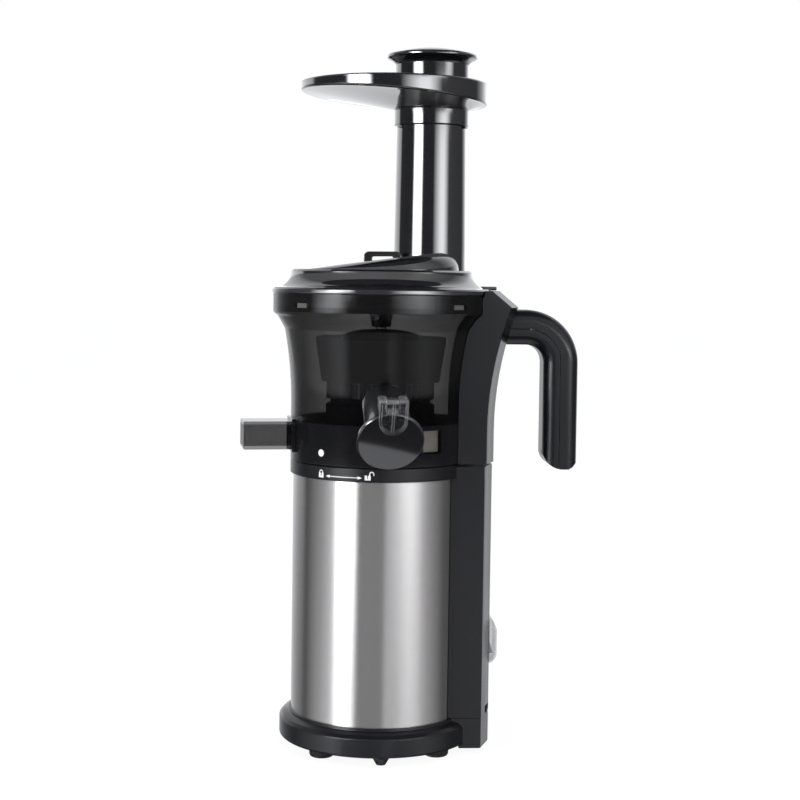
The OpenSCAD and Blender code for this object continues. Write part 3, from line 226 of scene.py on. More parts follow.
polished = dict(colour=(0.0095, 0.0098, 0.0125, 1), coat=1.0, dust=0.02, uneven=0.02, waves=0.1)
blackGloss = plastic(
    "polishedBlack", **polished, rough=0.09, ior=1.6, coatIor=1.62, coatRough=0.045)
spoutGloss = plastic(
    "spoutBlack", **polished, rough=0.12, ior=2.1, coatIor=1.7, coatRough=0.06)
capGloss = plastic(
    "capBlack", colour=(0.0080, 0.0083, 0.0105, 1), rough=0.03, ior=1.6, coat=1.0, coatIor=1.62,
    coatRough=0.02, dust=0.01, uneven=0.005, waves=0.02, grainHeight=0.001)
blackSatin = plastic(
    "satinBlack", colour=(0.0085, 0.0089, 0.0125, 1), rough=0.27, ior=1.4, coat=0.22, coatRough=0.16,
    grainHeight=0.012, dust=0.015, uneven=0.02, waves=0.06)
strainerBlack = plastic(
    "strainerBlack", colour=(0.0110, 0.0113, 0.0140, 1), rough=0.6, shine=0.0, dust=0.01, uneven=0.02,
    waves=0.06)
blackMatt = plastic("mattBlack", colour=(0.014, 0.0143, 0.0165, 1), rough=0.42, grainHeight=0.08)
rockerBlue = plastic("rockerBlue", colour=(0.13, 0.21, 0.38, 1), rough=0.35, ior=1.3)
# in the foot, each range is low, high and how soft its two ends are
bowlSmoke = smoke(
    "smokeBowl", colour=(0.0040, 0.0041, 0.0046, 1), colour2=(0.0055, 0.0056, 0.0062, 1), rough=0.07,
    tint=0.50, edgeTint=0.35, shine=0.35, foot={
        "z": (100, 194.8, 0.4), "r": (30, 56.2, 0.3), "tint": 0.40, "colour": (0.0115, 0.0118, 0.0140, 1),
        "panel": (24.5, 38.0, 0.3), "panelZ": (178.5, 192.0, 0.3), "panelTint": 0.32})
# the lever's pale colour shows where it is seen edge-on: painted highlights along its outlines
leverPaintedEdgeLight = smoke(
    "leverPaintedEdges", colour=(0.60, 0.61, 0.63, 1), colour2=(0.66, 0.67, 0.69, 1), rough=0.03, tint=0.012,
    edgeTint=0.9, edgeBlend=0.5, edgePower=4.0, shine=0.22)
coverClear = smoke(
    "clearCover", colour=(0.93, 0.94, 0.95, 1), colour2=(0.88, 0.90, 0.92, 1), rough=0.22, tint=0.26,
    edgeTint=0.4, edgePower=2.0, ior=1.42)
bodySteel = brushed(
    "brushedSteel", dark=(0.50, 0.485, 0.475, 1), light=(0.60, 0.59, 0.585, 1), rough=0.24, along=1.2,
    across=9000.0, stretch=0.97)
pinSteel = metal("turnedSteel", dark=(0.42, 0.42, 0.42, 1), light=(0.6, 0.6, 0.6, 1), rough=0.3)
meshSteel = metal(
    "screenSteel", dark=(0.16, 0.16, 0.165, 1), light=(0.26, 0.26, 0.265, 1), rough=0.4)
zinc = metal(
    "zincPlate", dark=(0.3, 0.31, 0.33, 1), light=(0.42, 0.43, 0.45, 1), rough=0.45, scale=90)
brassMetal = metal("brass", dark=(0.5, 0.36, 0.13, 1), light=(0.66, 0.5, 0.22, 1), rough=0.35)
copper = metal("windings", dark=(0.3, 0.1, 0.04, 1), light=(0.5, 0.2, 0.08, 1), rough=0.5)
acetal = soft("acetal", dark=(0.55, 0.52, 0.45, 1), light=(0.66, 0.63, 0.55, 1), rough=0.45)
silicone = soft("silicone", dark=(0.30, 0.30, 0.29, 1), light=(0.38, 0.38, 0.37, 1), rough=0.4)
rubber = soft("rubber", dark=(0.014, 0.014, 0.015, 1), light=(0.022, 0.022, 0.023, 1), rough=0.7)
greyMatt = soft("greyMatt", dark=(0.17, 0.168, 0.155, 1), light=(0.21, 0.207, 0.19, 1), rough=0.5)
# white print that also glows a little: painted light
printWhitePaintedGlow = soft(
    "printWhitePaintedGlow", dark=(0.86, 0.86, 0.86, 1), light=(0.93, 0.93, 0.93, 1), rough=0.5, glow=0.35)
print("materials made")

# finishes of the CAD nodes that stay as they are; a piece below stands in for each of the others
keptNodes = {
    "bottom_plate switch_body cooling_fan": blackMatt,
    "steel_sleeve": bodySteel,
    "motor_housing": blackSatin,
    "shaft_seal lid_seal": rubber,
    "bowl_gasket cap_seal": silicone,
    "counter_gear lid_bush": acetal,
    "output_gear auger_socket": brassMetal,
    "stator": copper,
    "motor_can gearbox_case gearbox_cover rotor_core": zinc,
    "strainer_mesh": meshSteel,
    "motor_bearings output_bearing counter_shaft rotor_shaft drive_shaft": pinSteel,
    "auger_pin handle_bolts cap_pin": pinSteel,
}
for names, material in keptNodes.items():
    for name in names.split():
        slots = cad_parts[name].data.materials
        slots.clear()
        slots.append(material)


# mesh helpers

def linked(name, mesh):
    item = bpy.data.objects.new(name, mesh)
    bpy.context.scene.collection.objects.link(item)
    return item


def evaluated(item):
    # what the object's modifiers make, as a plain mesh; the object is removed
    mesh = bpy.data.meshes.new_from_object(item.evaluated_get(bpy.context.evaluated_depsgraph_get()))
    bpy.data.objects.remove(item)
    return mesh


def asMesh(work, name):
    mesh = bpy.data.meshes.new(name)
    work.to_mesh(mesh)
    work.free()
    return mesh


def asWork(mesh):
    work = bmesh.new()
    work.from_mesh(mesh)
    bpy.data.meshes.remove(mesh)
    return work


def addPiece(name, body, mesh, material, standsFor=()):
    mesh.name = name
    item = linked(name, mesh)
    mesh.materials.clear()
    mesh.materials.append(material)
    if standsFor:
        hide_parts(*standsFor)
    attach(item, body)


def smoothMesh(work, name, degrees):
    # smooth faces, with edges sharper than this kept crisp
    work.normal_update()
    for face in work.faces:
        face.smooth = True
    for edge in work.edges:
        edge.smooth = len(edge.link_faces) != 2 or edge.calc_face_angle(0) < radians(degrees)
    return asMesh(work, name)


def finishPiece(name, body, work, material, standsFor=(), degrees=28):
    # normals follow the large faces, so that walls mirror cleanly up to their rounded edges
    item = linked(name, smoothMesh(work, name, degrees))
    mod = item.modifiers.new("normals", "WEIGHTED_NORMAL")
    mod.mode = "FACE_AREA"
    mod.weight = 50
    mod.keep_sharp = True
    addPiece(name, body, evaluated(item), material, standsFor)


def outwards(work):
    bmesh.ops.recalc_face_normals(work, faces=work.faces[:])
    return work


def loft(rows, closed=False):
    # rows of points in mm, joined row to row; a row of one point is a pole
    work = bmesh.new()
    made = [[work.verts.new(Vector(p) * mm) for p in row] for row in rows]
    pairs = list(zip(made, made[1:])) + ([(made[-1], made[0])] if closed else [])
    for low, high in pairs:
        n = max(len(low), len(high))
        for i in range(n):
            j = (i + 1) % n
            if len(low) == 1:
                work.faces.new((low[0], high[j], high[i]))
            elif len(high) == 1:
                work.faces.new((low[i], low[j], high[0]))
            else:
                work.faces.new((low[i], low[j], high[j], high[i]))
    return outwards(work)


def ringRow(r, z, centre=(0, 0), steps=144):
    # points on a circle; z is a height, or a function of x and y
    if r < 1e-6:
        return [(*centre, z(*centre) if callable(z) else z)]
    row = []
    for i in range(steps):
        a = 2 * pi * (i + 0.5) / steps
        x = centre[0] + r * cos(a)
        y = centre[1] + r * sin(a)
        row.append((x, y, z(x, y) if callable(z) else z))
    return row


def lerpRow(first, last, t, lift=0.0):
    return [Vector(a).lerp(Vector(b), t) + Vector((0, 0, lift)) for a, b in zip(first, last)]


def eased(points, radius, steps=4, closed=False):
    # rounds the corners of a polyline; radius is a number, or {index: number} with None for the rest
    n = len(points)
    out = []
    for i, p in enumerate(points):
        p = Vector(p)
        a = Vector(points[i - 1]) - p
        b = Vector(points[(i + 1) % n]) - p
        r = radius.get(i, radius.get(None, 0)) if isinstance(radius, dict) else radius
        if r <= 0 or (not closed and i in (0, n - 1)) or min(a.length, b.length) < 1e-6:
            out.append(tuple(points[i]))
            continue
        la = a.length
        lb = b.length
        a = a / la
        b = b / lb
        half = a.angle(b) / 2
        if half > pi / 2 - 0.03 or half < 0.02:
            out.append(tuple(p))
            continue
        reach = min(r / tan(half), la * 0.49, lb * 0.49)
        mid = p + (a + b).normalized() * (reach * tan(half) / sin(half))
        u = p + a * reach - mid
        v = p + b * reach - mid
        for k in range(steps + 1):
            w = u.slerp(v, k / steps) if u.angle(v) > 1e-4 else u
            out.append(tuple(mid + w.normalized() * u.length))
    return out


def turned(profile, centre=(0, 0), closed=False, steps=144):
    return loft([ringRow(r, z, centre, steps) for r, z in profile], closed)


def block(lo, hi):
    work = bmesh.new()
    bmesh.ops.create_cube(work, size=1.0)
    for v in work.verts:
        v.co = Vector([(lo[k] + hi[k]) / 2 + v.co[k] * (hi[k] - lo[k]) for k in range(3)]) * mm
    return work


def arcBlock(r0, r1, a0, a1, z0, z1):
    # a block bent round the axis, from angle a0 to a1
    steps = max(2, ceil(abs(a1 - a0) / 2.5))
    corners = ((r0, z0), (r1, z0), (r1, z1), (r0, z1))
    rows = []
    for k in range(steps + 1):
        a = radians(a0 + (a1 - a0) * k / steps)
        rows.append([(r * cos(a), r * sin(a), z) for r, z in corners])
    work = loft(rows)
    work.faces.new(list(work.verts)[:4])
    work.faces.new(list(work.verts)[-4:])
    return outwards(work)


def prism(outline, low, high, lay):
    # a flat outline made solid from low to high; lay turns its two numbers and a depth into x, y, z
    work = bmesh.new()
    first = [work.verts.new(Vector(lay(u, v, low)) * mm) for u, v in outline]
    last = [work.verts.new(Vector(lay(u, v, high)) * mm) for u, v in outline]
    work.faces.new(first)
    work.faces.new(last)
    for i in range(len(outline)):
        j = (i + 1) % len(outline)
        work.faces.new((first[i], first[j], last[j], last[i]))
    return outwards(work)


def moved(work, matrix):
    bmesh.ops.transform(work, matrix=matrix, verts=work.verts[:])
    return work


def aboutZ(degrees):
    return Matrix.Rotation(radians(degrees), 4, "Z")


def joined(*works):
    out = bmesh.new()
    for work in works:
        scrap = asMesh(work, "scrap")
        out.from_mesh(scrap)
        bpy.data.meshes.remove(scrap)
    return out


def carved(work, cutters, how="DIFFERENCE"):
    # exact boolean of work with each cutter in turn
    base = linked("carve", asMesh(work, "carve"))
    tools = []
    for cutter in cutters:
        mod = base.modifiers.new("cut", "BOOLEAN")
        mod.operation = how
        mod.solver = "EXACT"
        mod.object = linked("cutter", asMesh(cutter, "cutter"))
        tools.append(mod.object)
    out = asWork(evaluated(base))
    for tool in tools:
        bpy.data.objects.remove(tool)
    return out


def bevelled(work, width, steps=3):
    # real rounded edges on every edge sharper than 32 degrees
    bmesh.ops.remove_doubles(work, verts=work.verts[:], dist=1e-6)
    bmesh.ops.dissolve_limit(work, angle_limit=radians(0.6), verts=work.verts[:], edges=work.edges[:],
                             delimit={"NORMAL"})
    item = linked("edge", asMesh(work, "edge"))
    mod = item.modifiers.new("edge", "BEVEL")
    mod.width = width * mm
    mod.segments = steps
    mod.limit_method = "ANGLE"
    mod.angle_limit = radians(32)
    mod.miter_outer = "MITER_ARC"
    return asWork(evaluated(item))


# radii, and heights of the main faces, in mm
size = {"lid": 270.0, "plateau": 284.0, "chute": 383.0, "tray": 395.0, "bowlR": 53.6, "collarR": 64.8,
        "rimR": 65.5, "topR": 54.6, "chuteR": 20.8}
chuteAxis = (0, 28.5)
lidWindows = (41, 131, 221, 311)


# chute, pusher and tray

chuteShape = {"in": 18.6, "stub": 20.0, "base": 21.6, "foot": 262.0, "shoulder": 283.45, "baseTop": 300.0,
              "band": 370.0}


def makeChute():
    c = chuteShape
    r = size["chuteR"]
    top = size["chute"]
    outer = [(c["in"], c["foot"]), (c["stub"], c["foot"]), (c["stub"], c["shoulder"]),
             (c["base"], c["shoulder"]), (c["base"], c["baseTop"]), (r, c["band"] - 0.3),
             (r - 0.2, c["band"]), (r - 0.2, top - 0.6), (r - 0.7, top), (c["in"], top)]
    work = turned(eased(outer, {None: 0.3, 4: 6, 2: 0, 3: 0}, closed=True), chuteAxis, closed=True)
    finishPiece("chuteTube", "lid", work, blackGloss, ["feed_chute"])


pusherShape = {"plunger": 18.0, "neck": 22.0, "lip": 27.0, "foot": 264.0, "seat": 385.3, "lipZ": 408.0,
               "domeZ": 4.65, "domeH": 3.7}


def makePusher():
    c = pusherShape
    z = c["lipZ"]
    neck, lip, plunger, seat, foot = (c[key] for key in ("neck", "lip", "plunger", "seat", "foot"))
    points = [(0, foot), (plunger, foot), (plunger, seat), (neck, seat), (neck, z - 1.9),
              (neck + 0.4, z - 0.8), (neck + 1.6, z + 0.5), (lip - 0.9, z + 1.7), (lip, z + 2.4),
              (lip, z + 3.4), (lip - 0.7, z + 4.4), (lip - 2.0, z + 4.6), (lip - 2.4, z + 3.2),
              (neck - 2.4, z + 1), (neck - 2.4, seat + 2.8), (plunger - 2, seat - 0.3),
              (plunger - 2, foot + 2), (0, foot + 2)]
    ease = {None: 0.4, 1: 1.2, 5: 1.6, 6: 2.2, 7: 0.8, 8: 0.5, 9: 0.5, 10: 0.4}
    finishPiece("pusherBody", "pusher", turned(eased(points, ease), chuteAxis), blackGloss, ["pusher"])
    top = lip - 2.6
    dome = [(0, z + 3.4), (top, z + 3.4), (top, z + 4.4), (top - 0.3, z + 4.65)]
    for t in (0.96, 0.9, 0.82, 0.74, 0.66, 0.58, 0.5, 0.42, 0.34, 0.27, 0.2, 0.14, 0.08):
        dome.append((top * t, z + c["domeZ"] + c["domeH"] * (1 - t * t)))
    dome.append((0, z + 8.4))
    finishPiece("pusherDome", "pusher", turned(dome, chuteAxis), blackGloss, ["pusher_cap"])


trayShape = {"r": 55.8, "y": 5.9, "front": 5.0, "back": 13.0, "wall": 2.2, "collar": 22.4, "low": 370.0,
             "mouth": 22.5, "hubZ": 379.9, "bore": 20.7, "seat": 383.1, "floor": 385.0, "tabs": (-64.0, 64.0),
             "tabLow": 368.4}


def makeTray():
    c = trayShape
    top, rim, wall, collar, low, hubZ = size["tray"], c["r"], c["wall"], c["collar"], c["low"], c["hubZ"]
    fall = (c["back"] - c["front"]) / (2 * rim)

    def under(lift):
        # height of the underside, which slopes down towards the chute
        return lambda x, y: top - c["front"] - (y - c["y"] + rim) * fall + lift

    def rimRow(inset, z):
        return ringRow(rim - inset, z, (0, c["y"]))

    rows = [rimRow(*spot) for spot in (
        (wall, top - 0.7), (wall - 0.3, top - 0.15), (wall - 0.8, top), (0.9, top), (0.35, top - 0.2),
        (0, top - 0.9), (0, under(1.6)), (0.25, under(0.7)), (0.9, under(0.15)), (1.8, under(0)))]
    # the underside closes in from the rim to the collar round the chute
    first = rimRow(2.4, under(0.1))
    last = ringRow(c["mouth"], hubZ, chuteAxis)
    for t in (0, 0.12, 0.3, 0.5, 0.7, 0.85, 0.94, 1):
        rows.append(lerpRow(first, last, t, 0.35 * sin(pi * t)))
    rows += [ringRow(r, z, chuteAxis) for r, z in (
        (c["mouth"] - 0.25, hubZ - 0.25), (collar - 0.4, hubZ - 0.5), (collar - 0.1, hubZ - 0.7),
        (collar, hubZ - 1.0), (collar, low + 0.4), (collar - 0.4, low), (c["bore"], low),
        (c["bore"], c["seat"]), (chuteShape["in"], c["seat"]), (chuteShape["in"], c["floor"]),
        (c["mouth"], c["floor"]))]
    first = ringRow(c["mouth"] + 0.1, c["floor"] + 0.3, chuteAxis)
    last = rimRow(2.3, under(2.6))
    rows += [lerpRow(first, last, t) for t in (0.1, 0.3, 0.55, 0.8, 0.95, 1)]
    rows.append(rimRow(wall, under(3.6)))
    # small tongues under the collar
    aside = Matrix.Translation((0, chuteAxis[1] * mm, 0))
    tabs = [moved(arcBlock(c["bore"] + 0.05, collar - 0.1, a - 5, a + 5, c["tabLow"], low + 0.6), aside)
            for a in c["tabs"]]
    finishPiece("trayDish", "tray", joined(loft(rows, closed=True), *tabs), blackGloss, ["feed_tray"], 24)


# lid

lidShape = {"skirt": 61.9, "skirtLow": 262.0, "hump": 47.0, "crown": 10.0, "humpH": 12.4, "slope": 7.4,
            "wall": 2.5, "hub": 7.8, "hubFoot": 5.7, "hubIn": 4.7, "hubLow": 250.0, "side": (9.3, 9.2),
            "lugR": 63.4, "lugZ": (261.6, 264.3), "lugHalf": 3.9, "webs": (-25, 25, 205, 155),
            "spineTop": 272.8}


def makeLid():
    c = lidShape
    p, z0, rim, topR = (size[key] for key in ("plateau", "lid", "rimR", "topR"))
    skirt, low = c["skirt"], c["skirtLow"]
    fall = tan(radians(c["slope"]))

    def top(x, y):
        # a tilted disc with a rounded shoulder that drops steeply to the flat of the lid
        out = max(0.0, (hypot(x, y) - c["hump"] + c["crown"]) / c["crown"])
        return p + max(0.0, c["humpH"] - (c["hump"] - y) * fall) * (max(0.0, 1 - out ** 2.2)) ** 0.5

    def inside(x, y):
        return top(x * 1.04, y * 1.04) - c["wall"]

    side = []
    for k in range(1, 15):
        t = pi / 2 * k / 14
        side.append((topR + 0.3 + c["side"][0] * (1 - sin(t)),
                     z0 + 3.4 + c["side"][1] * (1 - cos(t))))
    outer = [(rim - 0.1, z0), (rim, z0 + 0.4), (rim, z0 + 2.3), (rim - 0.8, z0 + 3.3)] + side
    outer += [(topR + 0.2, p - 1.0), (topR - 1.2, p)]
    outer = [(skirt - 2, z0 + 0.2), (skirt - 2, low), (skirt - 0.3, low), (skirt, low + 0.4), (skirt, z0),
             *eased(outer, {None: 0, 1: 0.3, 2: 0.5, 3: 0.5, 18: 0.6, 19: 0.6})]
    crown = [c["hump"] - c["crown"] * (1 - sin(pi / 2 * k / 12)) for k in range(12, -1, -1)]
    rings = [52, 50, 48.5, 47.3] + crown + [35, 32, 28, 23, 18, 13, 8, 4, 0]
    shell = loft([ringRow(r, z) for r, z in outer] + [ringRow(r, top) for r in rings])
    flat = topR - c["wall"]
    under = [(skirt - 2, z0 + 0.2), (flat, z0 + 0.4), (flat, p - c["wall"] - 1), (flat - 1.2, p - c["wall"])]
    under += [(r, inside) for r in (48, 46, 44.5, 43, 42, 41, 40, 36, 30, 22, 14)]
    under += [(c["hub"], p - c["wall"]), (c["hub"], 259.0), (c["hub"] - 0.35, 258.2),
              (c["hubFoot"] + 0.2, c["hubLow"] + 0.6), (c["hubFoot"] - 0.3, c["hubLow"]),
              (c["hubIn"], c["hubLow"]), (c["hubIn"], c["hubLow"] + 9), (0, c["hubLow"] + 9)]
    body = joined(shell, loft([ringRow(r, z) for r, z in under]))
    bmesh.ops.remove_doubles(body, verts=body.verts[:], dist=1e-6)
    stub, base = chuteShape["stub"] + 0.05, chuteShape["base"] + 0.05
    step = chuteShape["shoulder"] - 0.05
    hole = turned([(0, z0 - 4), (stub, z0 - 4), (stub, step), (base, step), (base, 305), (0, 305)], chuteAxis)
    body = carved(outwards(body), [hole])
    # webs stand round the conical hub
    web = ((c["hubFoot"] - 0.6, -0.7, 251.0), (c["hub"] + 1.6, 0.7, 281.0))
    webs = [moved(bevelled(block(*web), 0.3), aboutZ(a)) for a in c["webs"]]
    # tab over the top of the spine
    reach = turned([(0, 260), (68.8, 260), (68.8, 290), (0, 290)])
    tab = carved(block((-9, 56.9, c["spineTop"]), (9, 72, c["spineTop"] + 2.2)), [reach], "INTERSECT")
    finishPiece("lidShell", "lid", joined(body, *webs, bevelled(tab, 0.5)), blackGloss, ["lid"], 30)
    half = c["lugHalf"]
    lugs = [arcBlock(skirt - 0.3, c["lugR"], a - half, a + half, *c["lugZ"]) for a in lidWindows]
    finishPiece("lidLugs", "lid", joined(*lugs), greyMatt)


# finger loop: a side outline in Y and Z with its slot, as thick as the loop is deep
loopShape = {"side": [(-12.0, 286.0), (-12.0, 294.8), (10.4, 295.0), (10.4, 286.0)], "turn": 3.2,
             "x": (12.8, 18.8), "slot": [(-6.8, 287.5), (-6.8, 291.8), (5.2, 292.0), (5.2, 287.5)],
             "slotTurn": 0.8, "ease": 0.5}


def makeLoop():
    c = loopShape
    low, high = c["x"]

    def lay(y, z, x):
        return x, y, z

    side = eased(c["side"], {None: 0, 1: c["turn"], 2: c["turn"]}, 8, closed=True)
    slot = prism(eased(c["slot"], c["slotTurn"], 4, closed=True), low - 2, high + 2, lay)
    work = bevelled(carved(prism(side, low, high, lay), [slot]), c["ease"], 4)
    finishPiece("lidLoop", "lid", work, blackGloss, degrees=40)


# bowl, spout and juice cap

bowlShape = {"low": 170.9, "floor": 178.2, "wall": 2.4, "flareZ": 205.0, "flare": 4.2, "neckZ": 248.8,
             "boss": 10.0, "bossIn": 7.6, "bossTop": 186.0, "hollow": 46.8, "underZ": 175.2, "collarIn": 62.2,
             "duct": 23.0, "ductH": 16.6, "ductWall": 2.0, "ductZ": 177.6, "ductEnd": 83.0, "ductTurn": 6.5,
             "spoutHole": 11.7, "grooveZ": 261.3, "lidTurn": 30, "lugs": (45, 135, 225, 315),
             "paleBlockSpan": (49.0, 51.1, 24.5, 38.0, 179.4, 192.0)}
spoutShape = {"mouth": (78.0, 1.3, 190.0), "turn": 3.0, "tilt": 29.0, "r": 13.5, "wall": 1.8, "root": 38.4,
              "end": -1.5, "hinge": (-4.0, 22.3), "knuckleW": 7.0, "knuckleR": 3.0}
spoutPlace = (Matrix.Translation(Vector(spoutShape["mouth"]) * mm) @ aboutZ(spoutShape["turn"])
              @ Matrix.Rotation(radians(spoutShape["tilt"]), 4, "Y"))


def flaredWall(r):
    c = bowlShape
    high = c["neckZ"] - c["flareZ"]
    return [(r + c["flare"] * (i / 8) ** 2, c["flareZ"] + high * i / 8) for i in range(9)]


def bowlOuter(grow, low):
    r = size["bowlR"] + grow
    collar = size["collarR"] + grow
    return [(r, low)] + flaredWall(r) + [
        (collar - 2.7, 256.3 - grow), (collar - 0.7, 257.8 - grow), (collar, 258.9 - grow)]


def alongX(profile, closed=False):
    # turned about the X axis: (r, x) pairs
    return moved(turned(profile, closed=closed, steps=96), Matrix.Rotation(radians(90), 4, "Y"))


def makeBowl():
    c = bowlShape
    inR, low, floor, under, top = size["bowlR"] - c["wall"], c["low"], c["floor"], c["underZ"], size["lid"]
    points = bowlOuter(0.0, low) + [(size["collarR"], top), (c["collarIn"], top), (c["collarIn"], 259.0)]
    points += flaredWall(inR)[::-1] + [
        (inR, floor), (c["boss"], floor), (c["boss"], c["bossTop"]), (c["bossIn"], c["bossTop"]),
        (c["bossIn"], under), (c["hollow"], under), (c["hollow"], low)]
    ease = {None: 0, 0: 0.7, 9: 2.5, 10: 1.2, 11: 0.8, 12: 0.6, 13: 0.4, 14: 1.5, 15: 2.0, 24: 1.6,
            len(points) - 1: 0.5}
    shell = turned(eased(points, ease, closed=True), closed=True, steps=168)
    place = aboutZ(c["ductTurn"] - 90)
    w, z, high, wall = c["duct"] / 2, c["ductZ"], c["ductZ"] + c["ductH"], c["ductWall"]
    duct = bevelled(block((49.6, -w, z), (c["ductEnd"], w, high)), 0.9)
    flange = bevelled(block((52.1, -w - 1.5, z - 1.5), (54.7, w + 1.5, high + 1.5)), 0.6)
    solid = carved(shell, [moved(duct, place), moved(flange, place)], "UNION")
    # the space inside is cleared again where the duct was joined
    inner, outer = c["boss"] + 0.5, inR - 0.05
    core = [(inner, floor + 0.05), (outer, floor + 0.05), (outer, 204.0), (inner, 204.0)]
    bore = bevelled(block((45.6, wall - w, z + wall), (c["ductEnd"] + 5, w - wall, high - wall)), 0.5)
    hole = alongX([(0, -22.0), (c["spoutHole"], -22.0), (c["spoutHole"], 42.0), (0, 42.0)])
    back = Matrix.Rotation(radians(180), 4, "Y")
    cuts = [turned(core, closed=True), moved(bore, place), moved(hole, spoutPlace @ back)]
    groove = c["grooveZ"]
    for a in lidWindows:
        # groove for a lug of the lid, its window, and the slot where the lug enters
        end = a + c["lidTurn"]
        cuts.append(arcBlock(61.2, 63.7, a - 6, end + 6, groove, groove + 3.3))
        cuts.append(arcBlock(62.9, 66.0, a - 4.5, a + 4.5, groove + 0.3, groove + 3.0))
        cuts.append(arcBlock(61.2, 63.9, end - 5.5, end + 5.5, groove + 2.3, 271.0))
    lugs = [arcBlock(44.3, 47.0, a - 13.5, a + 13.5, low, low + 2.2) for a in c["lugs"]]
    finishPiece("bowlShell", "bowl", joined(carved(solid, cuts), *lugs), bowlSmoke, ["bowl"], 26)
    # a pale block shows through the clearer panel in the foot; what it is on the real one is a guess
    finishPiece("paleInsert", "bowl", bevelled(arcBlock(*c["paleBlockSpan"]), 0.5), acetal)


def makeSpout():
    c = spoutShape
    inR = c["r"] - c["wall"]
    tube = eased([(inR, -c["root"]), (c["r"], -c["root"]), (c["r"], c["end"]), (inR, c["end"])],
                 {None: 0, 2: 1.0, 3: 0.4}, 5, closed=True)
    body = turned([(0, 160.0)] + bowlOuter(0.05, 160.0) + [(64.85, 275.0), (0, 275.0)])
    tube = carved(moved(alongX(tube, closed=True), spoutPlace), [body])
    # the knuckle of the hinge, round at its top
    (x, z), r, half = c["hinge"], c["knuckleR"], c["knuckleW"] / 2
    side = [(-6.0, 12.0), (2.4, 12.0), (2.6, z)]
    side += [(x + r * cos(0.15 + 0.284 * k), z + r * sin(0.15 + 0.284 * k)) for k in range(11)]
    knuckle = bevelled(prism(side, -half, half, lambda u, v, y: (u, y, v)), 0.4)
    finishPiece("spoutTube", "bowl", joined(tube, moved(knuckle, spoutPlace)), spoutGloss, ["spout"])


def makeCap():
    r, t = 18.9, 3.0
    disc = eased([(0, 0), (r - 0.8, 0), (r, 0.7), (r, 2.2), (r - 0.8, t), (0, t)],
                 {None: 0, 1: 0.3, 2: 0.4, 3: 0.9, 4: 0.9}, 5)
    plug = eased([(8.7, -3.0), (10.5, -3.0), (10.5, 0.1), (8.7, 0.1)], {None: 0, 0: 0.3, 1: 0.5}, closed=True)
    work = joined(alongX(disc), alongX(plug, closed=True))
    finishPiece("capDisc", "cap", moved(work, spoutPlace), capGloss, ["juice_cap"])


for make in (makeChute, makePusher, makeTray, makeLid, makeLoop, makeBowl, makeSpout, makeCap):
    make()
    print(make.__name__)


# CAD pieces with true rounded edges: name, body, width of the rounding and material
softened = {
    "base_skirt": ("baseSkirt", "base", 0.6, blackSatin),
    "top_deck": ("deckRing", "base", 0.5, blackSatin),
    "spine_shell": ("spineSides", "base", 0.35, blackSatin),
    "rear_cover": ("rearPanel", "base", 0.5, blackSatin),
    "switch_bezel": ("switchFrame", "base", 0.25, blackMatt),
    "switch_cover": ("switchHood", "base", 0.35, coverClear),
    "cord_gland": ("cordGland", "base", 0.25, rubber),
    "handle_mount": ("spineCore", "bowl", 0.4, blackSatin),
    "spine_cover": ("spineBack", "bowl", 0.5, blackSatin),
    "handle_outer": ("gripOuter", "bowl", 0.35, blackSatin),
    "handle_inner": ("gripInner", "bowl", 0.35, blackSatin),
    "cap_lever": ("capLever", "cap", 0.35, leverPaintedEdgeLight),
    "strainer_frame": ("strainerFrame", "bowl", 0.4, strainerBlack),
    "rubber_feet": ("feet", "base", 0.3, rubber),
    "switch_rocker": ("rockerKey", "rocker", 0.4, rockerBlue),
}
for node, (name, body, width, material) in softened.items():
    work = bmesh.new()
    work.from_mesh(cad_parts[node].data)
    if node == "rear_cover":
        # recess on both sides of the cable gland
        work = carved(work, [block((x, 63.4, 19.0), (x + 25, 68, 25.6)) for x in (-34, 9)])
    finishPiece(name, body, bevelled(work, width), material, [node], 20 if node == "base_skirt" else 28)
print("edges rounded")


# repeated pieces and the auger, each made by a node tree

def growTree(name, sockets):
    # a tree with these inputs, a unit and a material; get gives the wire of one
    tree = bpy.data.node_groups.new(name, "GeometryNodeTree")
    desk = Desk(tree)
    for key, kind in {**sockets, "Unit": "Object", "Material": "Material"}.items():
        tree.interface.new_socket(key, in_out="INPUT", socket_type="NodeSocket" + kind)
    tree.interface.new_socket("Geometry", in_out="OUTPUT", socket_type="NodeSocketGeometry")
    given = tree.nodes.new("NodeGroupInput")

    def get(key):
        return Wire(desk, given.outputs[key])

    return tree, desk, get


def closeTree(desk, shape, material):
    whole = desk.add("GeometryNodeRealizeInstances", {"Geometry": shape})
    painted = desk.add("GeometryNodeSetMaterial", {"Geometry": whole, "Material": material})
    desk.add("NodeGroupOutput", {0: painted})


def copiesTree():
    # copies of a unit on a ring round the upright axis
    tree, desk, get = growTree("copiesOnRing", {"Count": "Int", "Radius": "Float", "Start": "Float"})
    angle = get("Start") + desk.add("GeometryNodeInputIndex") * (2 * pi) / get("Count")
    place = desk.add("ShaderNodeCombineXYZ", [
        angle.calc("COSINE") * get("Radius"), angle.calc("SINE") * get("Radius"), 0.0])
    points = desk.add("GeometryNodePoints", {"Count": get("Count"), "Position": place})
    unit = desk.add("GeometryNodeObjectInfo", {"Object": get("Unit")}, "Geometry")
    facing = desk.add("ShaderNodeCombineXYZ", [0.0, 0.0, angle])
    copies = desk.add("GeometryNodeInstanceOnPoints", {
        "Points": points, "Instance": unit, "Rotation": facing})
    closeTree(desk, copies, get("Material"))
    return tree


auger = {"lengths": {"Base": 187.3, "Height": 61.5, "Foot radius": 23.6, "Top radius": 25.6,
                     "Core radius": 9.0, "Dome height": 5.6, "Dome radius": 24.6},
         "counts": {"Turns": 1.6, "Flights": 2.0, "Sides": 144, "Rows": 150}, "bore": 8.75, "boreTop": 203.5}


